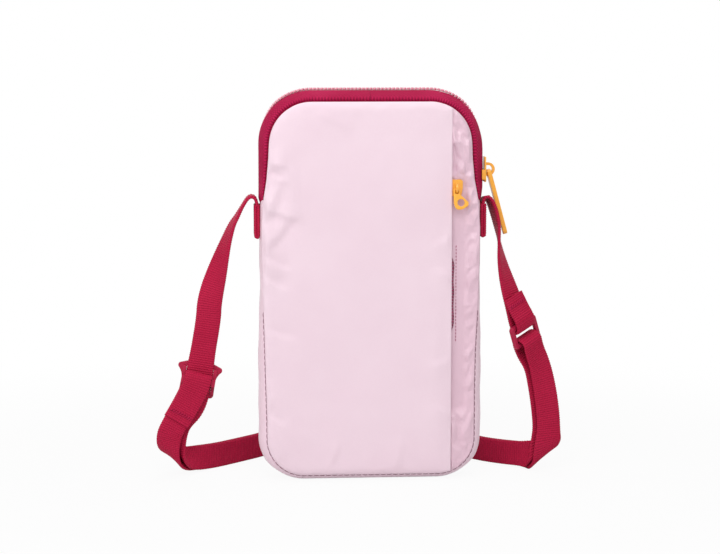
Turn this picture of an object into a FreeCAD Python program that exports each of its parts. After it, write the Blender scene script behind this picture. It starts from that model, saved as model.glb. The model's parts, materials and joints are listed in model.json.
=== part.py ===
"""Phone pouch with a zipped mouth, a zipped front pocket and a doubled shoulder strap.

Frame: millimetres, +Z up, the front faces -Y and +X is to the right of someone facing it.
The origin is the middle of the base, on the surface that the pouch stands on.
"""

import FreeCAD
import Part
import Sketcher
import math
import os
from types import SimpleNamespace

from FreeCAD import Placement, Rotation, Vector

SIZES = {
    # pouch
    "pouch_width": 106.0,
    "pouch_height": 187.0,
    "pouch_depth": 22.0,
    "corner_radius": 25.0,
    "base_flat": 10.0,  # flat middle of the side band, front to back
    "panel_inset": 4.8,  # from the outline in to the panel seam
    "seam_drop": 1.5,  # how far the seam lies below the panel's face
    "rim_slope": 3.0,  # width of the panel's sloping rim
    "band_wall": 1.0,
    "panel_cloth": 0.8,
    "lining_cloth": 0.5,
    "foam_thickness": 2.5,
    "seat_gap": 0.3,  # between a soft layer and the wall beside it
    # main zip
    "zip_end_drop": 52.6,  # from the pouch's top down to where both tapes come to a point
    "zip_end_slope": 1.0,
    "tape_gap": 1.2,
    "tooth_pitch": 1.78,
    "tooth_width": 0.62,
    "tooth_height": 1.3,
    "tooth_root": 2.2,  # from the chain's middle out to the tooth's root
    "tooth_reach": 0.5,  # how far a tooth reaches past the chain's middle
    "tooth_tip": 0.47,
    "open_rise": 3.7,  # up to here above the slider's middle the rows stand apart, for its wedge
    # main slider and pull
    "slider_rise": 14.9,  # above the zip's pointed end
    "slider_length": 12.0,
    "slider_width": 9.0,
    "slider_tail": 6.4,
    "slider_plate": 0.8,
    "slider_clear": 0.3,
    "wedge_width": 0.5,
    "wedge_length": 2.5,
    "flange_width": 0.8,
    "crown_radius": 3.2,
    "crown_leg": 1.3,
    "crown_bar": 1.3,
    "crown_width": 2.4,
    "pull_length": 32.4,
    "pull_width": 6.0,
    "pull_tip": 4.6,
    "pull_thickness": 2.0,
    "pull_lean": 15.5,
    "eye_clear": 0.3,
    "eye_bar": 1.1,
    # front pocket
    "pocket_zip_inset": 12.5,  # from the pouch's side to the pocket zip's middle
    "pocket_zip_low": 24.0,
    "pocket_zip_drop": 41.0,  # from the pouch's top down to the pocket zip's upper end
    "flap_lap": 2.1,  # from the zip's middle to the flap's edge
    "zip_tape": 0.5,
    "pocket_tape_width": 7.0,
    "pocket_tape_gap": 1.1,
    "pocket_tooth_pitch": 1.5,
    "pocket_tooth_width": 0.9,
    "pocket_tooth_height": 1.2,
    "pocket_tooth_inner": 0.55,
    "pocket_tooth_root": 1.6,
    "strip_cloth": 0.8,
    "strip_crest": 0.7,  # how far the strip swells above its seam edge
    "strip_lap": 1.9,  # from the zip's middle to the strip's folded edge
    # pocket slider and pull
    "pocket_slider_drop": 5.0,  # below the pocket zip's upper end
    "pocket_slider_length": 8.0,
    "pocket_slider_width": 6.0,
    "pocket_slider_plate": 0.7,
    "pocket_slider_clear": 0.3,
    "pocket_slider_room": 0.35,
    "pocket_crown_radius": 2.4,
    "pocket_crown_leg": 0.9,
    "pocket_crown_bar": 0.9,
    "pocket_crown_width": 1.0,
    "pocket_pull_length": 10.2,
    "pocket_pull_head": 3.1,
    "pocket_pull_flare": 5.4,
    "pocket_pull_thickness": 1.2,
    "pocket_pull_lean": 8.0,
    "pocket_pull_hole": 1.7,
    # strap
    "webbing_width": 12.0,
    "webbing_thickness": 1.4,
    "tab_drop": 3.4,  # below the main zip's pointed end
    "tab_length": 15.3,
    "tab_core": 0.5,
    # strap adjuster
    "adjuster_x": -82.6,
    "adjuster_y": 3.0,  # rear face of the strap that runs through it
    "adjuster_z": 48.2,
    "adjuster_tilt": 10.0,
    "adjuster_height": 16.8,
    "adjuster_lug": 21.6,
    "adjuster_waist": 16.4,
    "adjuster_bar": 2.4,
    "adjuster_middle_bar": 2.0,
    "adjuster_plate": 1.6,
    "adjuster_foot": 1.8,  # radius of its lower corners
    "adjuster_flare": 0.2,
    "lug_tip": 0.5,
    "adjuster_lead": 30.0,  # straight strap above and below the adjuster's middle
    "adjuster_trail": 13.5,
    "strap_clear": 0.4,
    "slot_clear": 0.5,
    "fold_length": 20.0,
    "fold_trail": 4.8,
    "bartack_height": 17.0,
    "bartack_width": 10.0,
    "bartack_thread": 1.6,
    "bartack_proud": 0.3,
    # ring between the short and the long strap
    "ring_x": 75.3,
    "ring_y": 0.0,
    "ring_z": 70.2,
    "ring_turn": 36.0,
    "ring_tilt": 21.0,
    "ring_height": 11.4,
    "ring_bar": 2.2,
    "ring_plate": 2.0,
    "ring_side_clear": 0.5,
    "ring_corner": 1.6,
    "ring_fold_room": 2.3,  # half the inside of the long strap's turn
    "short_fold_room": 1.8,  # half the inside of the short strap's turn
    "short_fold_length": 14.0,
}

doc = FreeCAD.newDocument("phone_pouch")


class Size:
    """A number that carries the sheet formula it comes from."""

    def __init__(self, value, formula):
        self.value = value
        self.formula = formula

    @staticmethod
    def of(thing):
        """A plain number becomes a constant."""
        return thing if isinstance(thing, Size) else Size(float(thing), repr(float(thing)))

    def _join(self, other, sign, value):
        return Size(value, f"({self.formula} {sign} {Size.of(other).formula})")

    def __add__(self, other):
        return self._join(other, "+", self.value + Size.of(other).value)

    def __sub__(self, other):
        return self._join(other, "-", self.value - Size.of(other).value)

    def __mul__(self, other):
        return self._join(other, "*", self.value * Size.of(other).value)

    def __truediv__(self, other):
        return self._join(other, "/", self.value / Size.of(other).value)

    def __neg__(self):
        return Size(-self.value, f"(0 - {self.formula})")

    def __radd__(self, other):
        return Size.of(other) + self

    def __rsub__(self, other):
        return Size.of(other) - self

    def __rmul__(self, other):
        return Size.of(other) * self


def make_sheet():
    """The sheet of driving sizes, and each of them as a Size."""
    sheet = doc.addObject("Spreadsheet::Sheet", "Sizes")
    for row, (alias, value) in enumerate(SIZES.items(), start=1):
        sheet.set(f"A{row}", alias)
        sheet.set(f"B{row}", str(value))
        sheet.setAlias(f"B{row}", alias)
    doc.recompute()
    return SimpleNamespace(**{a: Size(float(sheet.get(a)), f"Sizes.{a}") for a in SIZES})


dim = make_sheet()
nodes = {}


def bind(thing, prop, size):
    """Ties a property to the sheet."""
    size = Size.of(size)
    if "Sizes." in size.formula:
        thing.setExpression(prop, size.formula)
    else:
        setattr(thing, prop, size.value)


def new_body(label):
    body = doc.addObject("PartDesign::Body", label)
    body.Label = label
    return body


def place(thing, x, y, z, rotation):
    """Puts an object at a place that the sheet gives."""
    base = [Size.of(x), Size.of(y), Size.of(z)]
    thing.Placement = Placement(Vector(*[b.value for b in base]), rotation)
    for axis, size in zip("xyz", base):
        if "Sizes." in size.formula:
            thing.setExpression(f"Placement.Base.{axis}", size.formula)


def new_sketch(body, name, role, offset=0.0):
    """A sketch on one of the body's own planes, moved along that plane's normal."""
    sketch = body.newObject("Sketcher::SketchObject", name)
    planes = [f for f in body.Origin.OriginFeatures if f.Role == role]
    sketch.AttachmentSupport = [(planes[0], "")]
    sketch.MapMode = "FlatFace"
    offset = Size.of(offset)
    sketch.AttachmentOffset = Placement(Vector(0, 0, offset.value), Rotation())
    if "Sizes." in offset.formula:
        sketch.setExpression("AttachmentOffset.Base.z", offset.formula)
    return sketch


def fix(sketch, kind, args, size):
    """Adds a dimension to a sketch and ties it to the sheet."""
    index = sketch.addConstraint(Sketcher.Constraint(kind, *args, size.value))
    if "Sizes." in size.formula:
        name = f"{kind.lower()}_{index}"
        sketch.renameConstraint(index, name)
        sketch.setExpression(f"Constraints.{name}", size.formula)


def fix_point(sketch, geometry, end, u, v):
    """Fixes a point of a sketch by its two coordinates."""
    for size, kind, axis in ((u, "DistanceX", -2), (v, "DistanceY", -1)):
        if abs(size.value) < 1e-9 and "Sizes." not in size.formula:
            sketch.addConstraint(Sketcher.Constraint("PointOnObject", geometry, end, axis))
        else:
            fix(sketch, kind, (-1, 1, geometry, end), size)


def arc_between(a, b, radius, turn):
    """The arc of under half a circle from a to b: turn 1 bends left, -1 bends right."""
    chord = b - a
    left = Vector(-chord.y, chord.x, 0).normalize()
    height = math.sqrt(radius**2 - (chord.Length / 2) ** 2)
    centre = a + chord * 0.5 + left * (turn * height)
    angle_a = math.atan2(a.y - centre.y, a.x - centre.x)
    angle_b = math.atan2(b.y - centre.y, b.x - centre.x)
    circle = Part.Circle(centre, Vector(0, 0, 1), radius)
    if turn > 0:
        return Part.ArcOfCircle(circle, angle_a, angle_b), (1, 2)
    return Part.ArcOfCircle(circle, angle_b, angle_a), (2, 1)


def trace(sketch, start, steps):
    """Draws a closed outline. A step is (u, v) for a line or (u, v, radius, turn) for an arc."""
    points = [tuple(Size.of(c) for c in p[:2]) for p in [start, *steps]]
    flat = [Vector(u.value, v.value, 0) for u, v in points]
    drawn = []
    for k, step in enumerate(steps):
        geometry, ends = Part.LineSegment(flat[k], flat[k + 1]), (1, 2)
        if len(step) == 4:
            geometry, ends = arc_between(flat[k], flat[k + 1], Size.of(step[2]).value, step[3])
        drawn.append((sketch.addGeometry(geometry, False), ends))
    for k, (geometry, ends) in enumerate(drawn):
        after, after_ends = drawn[(k + 1) % len(drawn)]
        sketch.addConstraint(
            Sketcher.Constraint("Coincident", geometry, ends[1], after, after_ends[0])
        )
        fix_point(sketch, geometry, ends[0], *points[k])
        if len(steps[k]) == 4:
            fix(sketch, "Radius", (geometry,), Size.of(steps[k][2]))


def trace_circle(sketch, u, v, radius):
    """Draws a circle."""
    u, v, radius = Size.of(u), Size.of(v), Size.of(radius)
    circle = Part.Circle(Vector(u.value, v.value, 0), Vector(0, 0, 1), radius.value)
    geometry = sketch.addGeometry(circle, False)
    fix_point(sketch, geometry, 3, u, v)
    fix(sketch, "Radius", (geometry,), radius)


def trace_rounded(sketch, left, right, low, high, r):
    """Draws a rectangle with round corners."""
    trace(
        sketch,
        (left + r, low),
        [
            (right - r, low),
            (right, low + r, r, 1),
            (right, high - r),
            (right - r, high, r, 1),
            (left + r, high),
            (left, high - r, r, 1),
            (left, low + r),
            (left + r, low, r, 1),
        ],
    )


def trace_box(sketch, left, right, low, high):
    """Draws a rectangle."""
    trace(sketch, (left, low), [(right, low), (right, high), (left, high), (left, low)])


def pad(body, name, sketch, length, back=False, both=False):
    """Pads a sketch along its normal, against it, or half each way."""
    feature = body.newObject("PartDesign::Pad", name)
    feature.Profile = sketch
    bind(feature, "Length", length)
    feature.Reversed = back
    feature.Midplane = both
    sketch.Visibility = False
    return feature


def cut_through(body, name, sketch):
    """Cuts a sketch through the whole body, both ways, and makes sure that it cut."""
    doc.recompute()
    before = body.Shape.Volume
    feature = body.newObject("PartDesign::Pocket", name)
    feature.Profile = sketch
    feature.Type = "ThroughAll"
    feature.Midplane = True
    doc.recompute()
    assert body.Shape.Volume < before, name
    return feature


def loft(body, name, sketches, kind="AdditiveLoft"):
    """A straight-ruled loft through sketches, added or cut away."""
    feature = body.newObject(f"PartDesign::{kind}", name)
    feature.Profile = sketches[0]
    feature.Sections = sketches[1:]
    feature.Ruled = True
    return feature


def boolean(kind, label, base, tool):
    """A cut or a common of two objects."""
    feature = doc.addObject(f"Part::{kind}", label)
    feature.Label = label
    feature.Base = base
    feature.Tool = tool
    return feature


def keep(label, thing):
    """Marks an object as a finished piece."""
    thing.Label = label
    nodes[label] = thing


# Levels are measured outwards from the pouch's middle plane, towards the front.
half_width = dim.pouch_width / 2
face = dim.pouch_depth / 2
seam = face - dim.seam_drop
flat_edge = dim.base_flat / 2
cloth_inside = face - dim.panel_cloth
foam_inside = cloth_inside - dim.foam_thickness
pocket_tape_inside = foam_inside - dim.zip_tape
pocket_plate_inside = pocket_tape_inside - dim.pocket_slider_clear - dim.pocket_slider_plate
pocket_wall = pocket_plate_inside - dim.pocket_slider_room
front_wall = pocket_wall - dim.lining_cloth

# Heights and places that follow the pouch's own size.
zip_end = dim.pouch_height - dim.zip_end_drop
slider_middle = zip_end + dim.slider_rise
tab_high = zip_end - dim.tab_drop
tab_low = tab_high - dim.tab_length
tab_middle = half_width + dim.webbing_thickness + dim.tab_core / 2
pocket_zip_side = half_width - dim.pocket_zip_inset
pocket_zip_high = dim.pouch_height - dim.pocket_zip_drop
pocket_slider_middle = pocket_zip_high - dim.pocket_slider_drop


def band_inset(level):
    """How far the band's inner wall lies inside the outline at a level past its flat middle."""
    return dim.panel_inset * (level - flat_edge) / (seam - flat_edge) + dim.band_wall


def outline_sketch(body, name, inset, level):
    """The pouch's outline, drawn in by an inset, at a level."""
    sketch = new_sketch(body, name, "XZ_Plane", level)
    trace_rounded(
        sketch,
        inset - half_width,
        half_width - inset,
        Size.of(inset),
        dim.pouch_height - inset,
        dim.corner_radius - inset,
    )
    return sketch


def band_ring():
    """The whole side band, from seam to seam: the gusset below and both zip tapes above."""
    body = new_body("band_ring")
    for kind, wall in (("AdditiveLoft", 0.0), ("SubtractiveLoft", dim.band_wall)):
        levels = [
            (dim.panel_inset + wall, seam),
            (Size.of(wall), flat_edge),
            (Size.of(wall), -flat_edge),
            (dim.panel_inset + wall, -seam),
        ]
        sketches = [
            outline_sketch(body, f"{kind}_at_{k}", inset, level)
            for k, (inset, level) in enumerate(levels)
        ]
        loft(body, f"{kind}_band", sketches, kind)
    return body


def zip_wedge(label, near, far):
    """The space above the zip's pointed ends, from one distance behind the middle plane to another."""
    body = new_body(label)
    sketch = new_sketch(body, f"{label}_outline", "YZ_Plane")
    top = dim.pouch_height + dim.band_wall
    steps = []
    corners = [near, far] if near.value * far.value >= 0 else [near, Size.of(0), far]
    for y in corners:
        rise = y if y.value >= 0 else -y
        steps.append((y, zip_end + rise * dim.zip_end_slope))
    trace(sketch, steps[0], [*steps[1:], (far, top), (near, top), steps[0]])
    pad(body, f"{label}_pad", sketch, dim.pouch_width + dim.band_wall, both=True)
    return body


def build_band():
    """Gusset band and main zip tapes, parted along the zip's pointed ends."""
    ring = band_ring()
    gap = dim.tape_gap / 2
    whole = zip_wedge("wedge_whole", -face, face)
    keep("gusset_band", boolean("Cut", "gusset_band", ring, whole))
    for side, near, far in (("front", -face, -gap), ("back", gap, face)):
        wedge = zip_wedge(f"wedge_{side}", near, far)
        label = f"main_zip_tape_{side}"
        keep(label, boolean("Common", label, ring, wedge))


def panel(label, facing):
    """A dished cover panel: facing is 1 for the front and -1 for the back."""
    body = new_body(label)
    outer = [(dim.panel_inset, seam), (dim.panel_inset + dim.rim_slope, face)]
    inner = [
        (dim.panel_inset + dim.band_wall, seam),
        (dim.panel_inset + dim.rim_slope, cloth_inside),
    ]
    for kind, levels in (("AdditiveLoft", outer), ("SubtractiveLoft", inner)):
        sketches = [
            outline_sketch(body, f"{label}_{kind}_{k}", inset, level * facing)
            for k, (inset, level) in enumerate(levels)
        ]
        loft(body, f"{label}_{kind}", sketches, kind)
    keep(label, body)
    return body


def layer(label, inset, level, thickness, facing=1):
    """A flat layer with the pouch's outline. The level is its outer face."""
    body = new_body(label)
    sketch = outline_sketch(body, f"{label}_outline", inset, level * facing)
    pad(body, f"{label}_pad", sketch, thickness, back=facing > 0)
    keep(label, body)


def build_layers():
    """Covers, padding and linings, from the outside in."""
    flap_edge = pocket_zip_side - dim.flap_lap
    front = panel("front_panel", 1)
    beyond = new_sketch(front, "beyond_flap", "XZ_Plane")
    trace_box(beyond, flap_edge, dim.pouch_width, -dim.band_wall, dim.pouch_height + dim.band_wall)
    cut_through(front, "flap_edge_cut", beyond)
    panel("back_panel", -1)

    foam_inset = dim.panel_inset + dim.rim_slope + dim.seat_gap
    layer("back_foam", foam_inset, cloth_inside, dim.foam_thickness, -1)
    foam = new_body("front_foam")
    outline = new_sketch(foam, "front_foam_outline", "XZ_Plane", cloth_inside)
    left, r = foam_inset - half_width, dim.corner_radius - foam_inset
    right = pocket_zip_side - dim.pocket_slider_width / 2 - dim.pocket_slider_room
    low, high = Size.of(foam_inset), dim.pouch_height - foam_inset
    r_right = dim.corner_radius - (half_width - right)
    trace(
        outline,
        (left + r, low),
        [
            (right - r_right, low),
            (right, low + r_right, r_right, 1),
            (right, high - r_right),
            (right - r_right, high, r_right, 1),
            (left + r, high),
            (left, high - r, r, 1),
            (left, low + r),
            (left + r, low, r, 1),
        ],
    )
    pad(foam, "front_foam_pad", outline, dim.foam_thickness, back=True)
    keep("front_foam", foam)

    wall_inset = band_inset(pocket_wall) + dim.seat_gap
    layer("pocket_lining", wall_inset, pocket_wall, dim.lining_cloth)
    layer("front_lining", wall_inset, front_wall, dim.lining_cloth)
    back_inset = band_inset(foam_inside) + dim.seat_gap
    layer("back_lining", back_inset, foam_inside, dim.lining_cloth, -1)

    lining = new_body("gusset_lining")
    sketch = new_sketch(lining, "gusset_lining_outline", "XZ_Plane")
    out, into = dim.band_wall, dim.band_wall + dim.lining_cloth
    r_out, r_in = dim.corner_radius - out, dim.corner_radius - into
    top = zip_end - dim.band_wall
    trace(
        sketch,
        (out - half_width, top),
        [
            (out - half_width, out + r_out),
            (out - half_width + r_out, out, r_out, 1),
            (half_width - out - r_out, out),
            (half_width - out, out + r_out, r_out, 1),
            (half_width - out, top),
            (half_width - into, top),
            (half_width - into, into + r_in),
            (half_width - into - r_in, into, r_in, -1),
            (into - half_width + r_in, into),
            (into - half_width, into + r_in, r_in, -1),
            (into - half_width, top),
            (out - half_width, top),
        ],
    )
    pad(lining, "gusset_lining_pad", sketch, dim.base_flat - dim.seat_gap * 2, both=True)
    keep("gusset_lining", lining)


def build_side_strip():
    """The strip right of the flap: sewn on the zip tape, swelling to the seam, cut to the outline."""
    seam_side = half_width - dim.panel_inset
    edge = pocket_zip_side + dim.strip_lap
    past_slider = pocket_zip_side + dim.pocket_slider_width / 2 + dim.pocket_slider_room
    bar = new_body("strip_bar")
    sketch = new_sketch(bar, "strip_section", "XY_Plane")
    trace(
        sketch,
        (edge, -foam_inside),
        [
            (edge, -foam_inside - dim.strip_cloth),
            (past_slider, -foam_inside - dim.strip_cloth),
            (seam_side - dim.band_wall, -seam - dim.strip_crest),
            (seam_side, -seam),
            (seam_side - dim.band_wall, -seam),
            (past_slider, -foam_inside),
            (edge, -foam_inside),
        ],
    )
    pad(bar, "strip_bar_pad", sketch, dim.pouch_height)
    shape = new_body("strip_outline")
    outline = outline_sketch(shape, "strip_outline_sketch", dim.panel_inset, 0.0)
    pad(shape, "strip_outline_pad", outline, dim.pouch_depth)
    trimmed = boolean("Common", "strip_trimmed", bar, shape)
    keep("front_side_strip", boolean("Cut", "front_side_strip", trimmed, doc.getObject("band_ring")))


def group(label, solids):
    """Many small separate solids in one piece."""
    feature = doc.addObject("Part::Feature", label)
    feature.Shape = Part.makeCompound(solids)
    keep(label, feature)


def tooth():
    """One tooth of the main zip: from its root to its tip along y, standing up in z."""
    base, tip = dim.tooth_width.value / 2, dim.tooth_tip.value / 2
    root, reach = -dim.tooth_root.value, dim.tooth_reach.value
    corners = [(-base, root), (base, root), (tip, reach), (-tip, reach), (-base, root)]
    outline = Part.makePolygon([Vector(x, y, 0) for x, y in corners])
    return Part.Face(outline).extrude(Vector(0, 0, dim.tooth_height.value))


def main_chain_spot(distance):
    """Place and heading on the chain's path over the top, from the left end."""
    r, half = dim.corner_radius.value, half_width.value
    straight = dim.pouch_height.value - r - zip_end.value
    bend, top = math.pi / 2 * r, 2 * (half - r)
    z_bend = dim.pouch_height.value - r
    if distance < straight:
        return Vector(-half, 0, zip_end.value + distance), 90.0
    distance -= straight
    if distance < bend:
        a = math.pi - distance / r
        return Vector(r - half + r * math.cos(a), 0, z_bend + r * math.sin(a)), math.degrees(a) - 90
    distance -= bend
    if distance < top:
        return Vector(r - half + distance, 0, z_bend + r), 0.0
    distance -= top
    if distance < bend:
        a = math.pi / 2 - distance / r
        return Vector(half - r + r * math.cos(a), 0, z_bend + r * math.sin(a)), math.degrees(a) - 90
    return Vector(half, 0, z_bend - (distance - bend)), -90.0


def build_main_teeth():
    """Two rows of teeth along the crest, half a pitch apart, parted below the slider's wedge."""
    r = dim.corner_radius.value
    straight = dim.pouch_height.value - r - zip_end.value
    total = 2 * straight + math.pi * r + 2 * (half_width.value - r)
    pitch = dim.tooth_pitch.value
    count = int((total - 2 * dim.tape_gap.value - 2 * pitch) / pitch)
    first = (total - (count - 1) * pitch) / 2
    shape = tooth()
    open_to = slider_middle.value + dim.open_rise.value
    apart = dim.tooth_reach.value + dim.wedge_width.value / 2 + dim.slider_clear.value
    for label, side, shift in (("front", 1, -pitch / 4), ("back", -1, pitch / 4)):
        solids = []
        for k in range(count):
            spot, heading = main_chain_spot(first + k * pitch + shift)
            right_side = spot.x > half_width.value - r
            parting = max(0.0, min(1.0, (open_to + 2 * pitch - spot.z) / (2 * pitch)))
            out = apart * parting if right_side else 0.0
            # The tooth's y goes to the chain's middle, its z away from the pouch.
            turn = Rotation(Vector(0, 1, 0), -heading)
            flip = Rotation() if side > 0 else Rotation(Vector(0, 0, 1), 180)
            copy = shape.copy()
            copy.Placement = Placement(spot + Vector(0, -side * out, 0), turn.multiply(flip))
            solids.append(copy)
        group(f"main_zip_teeth_{label}", solids)


def build_pocket_zip():
    """Two tapes, each with its row of teeth, under the flap's edge."""
    gap, middle = dim.pocket_tape_gap / 2, pocket_zip_side
    inner = dim.pocket_tooth_inner.value
    depth = dim.pocket_tooth_root.value - inner
    width, height = dim.pocket_tooth_width.value, dim.pocket_tooth_height.value
    pitch = dim.pocket_tooth_pitch.value
    span = pocket_zip_high.value - dim.pocket_zip_low.value
    count = int((span - 2 * pitch) / pitch)
    first = dim.pocket_zip_low.value + (span - (count - 1) * pitch) / 2
    for label, side in (("left", -1), ("right", 1)):
        tape = new_body(f"pocket_zip_tape_{label}")
        sketch = new_sketch(tape, f"pocket_tape_{label}", "XZ_Plane", foam_inside)
        edges = [middle + gap * side, middle + dim.pocket_tape_width * side]
        if side < 0:
            edges.reverse()
        else:
            edges[1] = half_width - band_inset(foam_inside) - dim.seat_gap
        trace_box(sketch, *edges, dim.pocket_zip_low, pocket_zip_high)
        pad(tape, f"pocket_tape_{label}_pad", sketch, dim.zip_tape, back=True)
        keep(f"pocket_zip_tape_{label}", tape)
        solids = []
        for k in range(count):
            z = first + k * pitch + side * pitch / 4 - width / 2
            x = middle.value + (inner if side > 0 else -inner - depth)
            corner = Vector(x, -foam_inside.value - height, z)
            solids.append(Part.makeBox(depth, height, width, corner))
        group(f"pocket_zip_teeth_{label}", solids)


def mirrored(steps, side):
    """The steps of an outline as they are, or turned over left to right for side -1."""
    if side > 0:
        return steps
    turned = []
    for u, v, *arc in steps:
        turned.append((-Size.of(u), v, arc[0], -arc[1]) if arc else (-Size.of(u), v))
    return turned


def crown_steps(foot, leg, middle, outer, inner, side):
    """A round arch on two legs: foot is the plate's face, and side the way it stands out."""
    steps = [
        (foot, middle - outer),
        (foot + leg, middle - outer),
        (foot + leg + outer, middle, outer, 1),
        (foot + leg, middle + outer, outer, 1),
        (foot, middle + outer),
        (foot, middle + inner),
        (foot + leg, middle + inner),
        (foot + leg + inner, middle, inner, -1),
        (foot + leg, middle - inner, inner, -1),
        (foot, middle - inner),
        (foot, middle - outer),
    ]
    return mirrored(steps, side)


PLATE_CORNER = 0.13  # a slider plate's cut corners, as a share of its width


def slider_outline(sketch, middle, height, length, width, tail, wide_end):
    """A slider plate: wide where the two tapes part, narrow where they leave together."""
    end, mid = height + length * (0.5 * wide_end), height
    corner = width * PLATE_CORNER
    steps = [
        (middle - width / 2, mid),
        (middle - width / 2, end - corner * wide_end),
        (middle - width / 2 + corner, end),
        (middle + width / 2 - corner, end),
        (middle + width / 2, end - corner * wide_end),
        (middle + width / 2, mid),
        (middle + tail / 2, height - length * (0.5 * wide_end)),
        (middle - tail / 2, height - length * (0.5 * wide_end)),
        (middle - width / 2, mid),
    ]
    trace(sketch, steps[0], steps[1:])


main_plate = half_width + dim.tooth_height + dim.slider_clear
main_plate_face = main_plate + dim.slider_plate
main_inner_face = half_width - dim.band_wall - dim.slider_clear
crown_inside = dim.crown_radius - dim.crown_bar
pocket_plate = foam_inside + dim.pocket_tooth_height + dim.pocket_slider_clear
pocket_plate_face = pocket_plate + dim.pocket_slider_plate
pocket_crown_inside = dim.pocket_crown_radius - dim.pocket_crown_bar


def build_main_slider():
    """Outer and inner plate, the wedge between them, two flanges and the arched crown."""
    body = new_body("main_slider")
    low = slider_middle - dim.slider_length / 2
    shape = (slider_middle, dim.slider_length, dim.slider_width, dim.slider_tail, -1)
    outer = new_sketch(body, "main_slider_outer", "YZ_Plane", main_plate)
    slider_outline(outer, Size.of(0), *shape)
    pad(body, "main_slider_outer_pad", outer, dim.slider_plate)
    wedge = new_sketch(body, "main_slider_wedge", "YZ_Plane", main_inner_face)
    foot = low + dim.slider_clear
    half = dim.wedge_width / 2
    trace_box(wedge, -half, half, foot, foot + dim.wedge_length)
    pad(body, "main_slider_wedge_pad", wedge, main_plate - main_inner_face)
    inner = new_sketch(body, "main_slider_inner", "YZ_Plane", main_inner_face)
    slider_outline(inner, Size.of(0), *shape)
    pad(body, "main_slider_inner_pad", inner, dim.slider_plate, back=True)
    flanges = new_sketch(body, "main_slider_flanges", "YZ_Plane", half_width + dim.slider_clear)
    edge = dim.slider_width / 2
    for side in (-1, 1):
        across = sorted([edge * side, (edge - dim.flange_width) * side], key=lambda s: s.value)
        trace_box(flanges, *across, low + dim.slider_width * PLATE_CORNER, slider_middle)
    pad(body, "main_slider_flanges_pad", flanges, dim.tooth_height)
    crown = new_sketch(body, "main_slider_crown", "XZ_Plane")
    steps = crown_steps(
        main_plate_face, dim.crown_leg, slider_middle, dim.crown_radius, crown_inside, 1
    )
    trace(crown, steps[0], steps[1:])
    pad(body, "main_slider_crown_pad", crown, dim.crown_width, both=True)
    keep("main_slider", body)


def build_main_pull():
    """A slim bar whose eye goes round the crown. It hangs from the crown's middle, leaning out."""
    body = new_body("main_pull")
    sketch = new_sketch(body, "main_pull_outline", "YZ_Plane")
    half, tip, length = dim.pull_width / 2, dim.pull_tip / 2, dim.pull_length
    # The flat bar's corners turn inside the round crown, so its eye starts a little further in.
    eye_top = crown_inside - dim.eye_clear - dim.pull_thickness * 0.18
    head, eye_low = eye_top - dim.eye_bar, dim.crown_radius + dim.eye_clear
    shoulder, r = eye_low + dim.eye_bar, dim.eye_bar
    trace(
        sketch,
        (-tip, tip - length),
        [
            (Size.of(0), -length, tip, 1),
            (tip, tip - length, tip, 1),
            (half, -shoulder),
            (half, -head - r),
            (half - r, -head, r, 1),
            (r - half, -head),
            (-half, -head - r, r, 1),
            (-half, -shoulder),
            (-tip, tip - length),
        ],
    )
    eye = dim.crown_width / 2 + dim.eye_clear
    trace_box(sketch, -eye, eye, -eye_low, -eye_top)
    pad(body, "main_pull_pad", sketch, dim.pull_thickness, both=True)
    turn = Rotation(Vector(0, 1, 0), -dim.pull_lean.value)
    place(body, main_plate_face + dim.crown_leg, 0, slider_middle, turn)
    keep("main_pull", body)


def build_pocket_slider():
    """The small slider under the flap's edge. Its tapes part above it."""
    body = new_body("pocket_slider")
    middle, height = pocket_zip_side, pocket_slider_middle
    tail = dim.pocket_slider_width - dim.flange_width * 2
    shape = (middle, height, dim.pocket_slider_length, dim.pocket_slider_width, tail, 1)
    outer = new_sketch(body, "pocket_slider_outer", "XZ_Plane", pocket_plate)
    slider_outline(outer, *shape)
    pad(body, "pocket_slider_outer_pad", outer, dim.pocket_slider_plate)
    inner_face = pocket_tape_inside - dim.pocket_slider_clear
    wedge = new_sketch(body, "pocket_slider_wedge", "XZ_Plane", inner_face)
    top = height + dim.pocket_slider_length / 2 - dim.pocket_slider_clear
    half = dim.wedge_width / 2
    trace_box(wedge, middle - half, middle + half, top - dim.wedge_length, top)
    pad(body, "pocket_slider_wedge_pad", wedge, pocket_plate - inner_face)
    inner = new_sketch(body, "pocket_slider_inner", "XZ_Plane", inner_face)
    slider_outline(inner, *shape)
    pad(body, "pocket_slider_inner_pad", inner, dim.pocket_slider_plate, back=True)
    flange_foot = foam_inside + dim.strip_cloth + dim.pocket_slider_clear
    flanges = new_sketch(body, "pocket_slider_flanges", "XZ_Plane", flange_foot)
    edge = dim.pocket_slider_width / 2
    for side in (-1, 1):
        across = [middle + edge * side, middle + (edge - dim.flange_width / 2) * side]
        across.sort(key=lambda s: s.value)
        trace_box(flanges, *across, height, top - dim.flange_width)
    pad(body, "pocket_slider_flanges_pad", flanges, pocket_plate - flange_foot)
    crown = new_sketch(body, "pocket_slider_crown", "YZ_Plane", middle)
    steps = crown_steps(
        pocket_plate_face, dim.pocket_crown_leg, height, dim.pocket_crown_radius, pocket_crown_inside, -1
    )
    trace(crown, steps[0], steps[1:])
    pad(body, "pocket_slider_crown_pad", crown, dim.pocket_crown_width, both=True)
    keep("pocket_slider", body)


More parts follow.
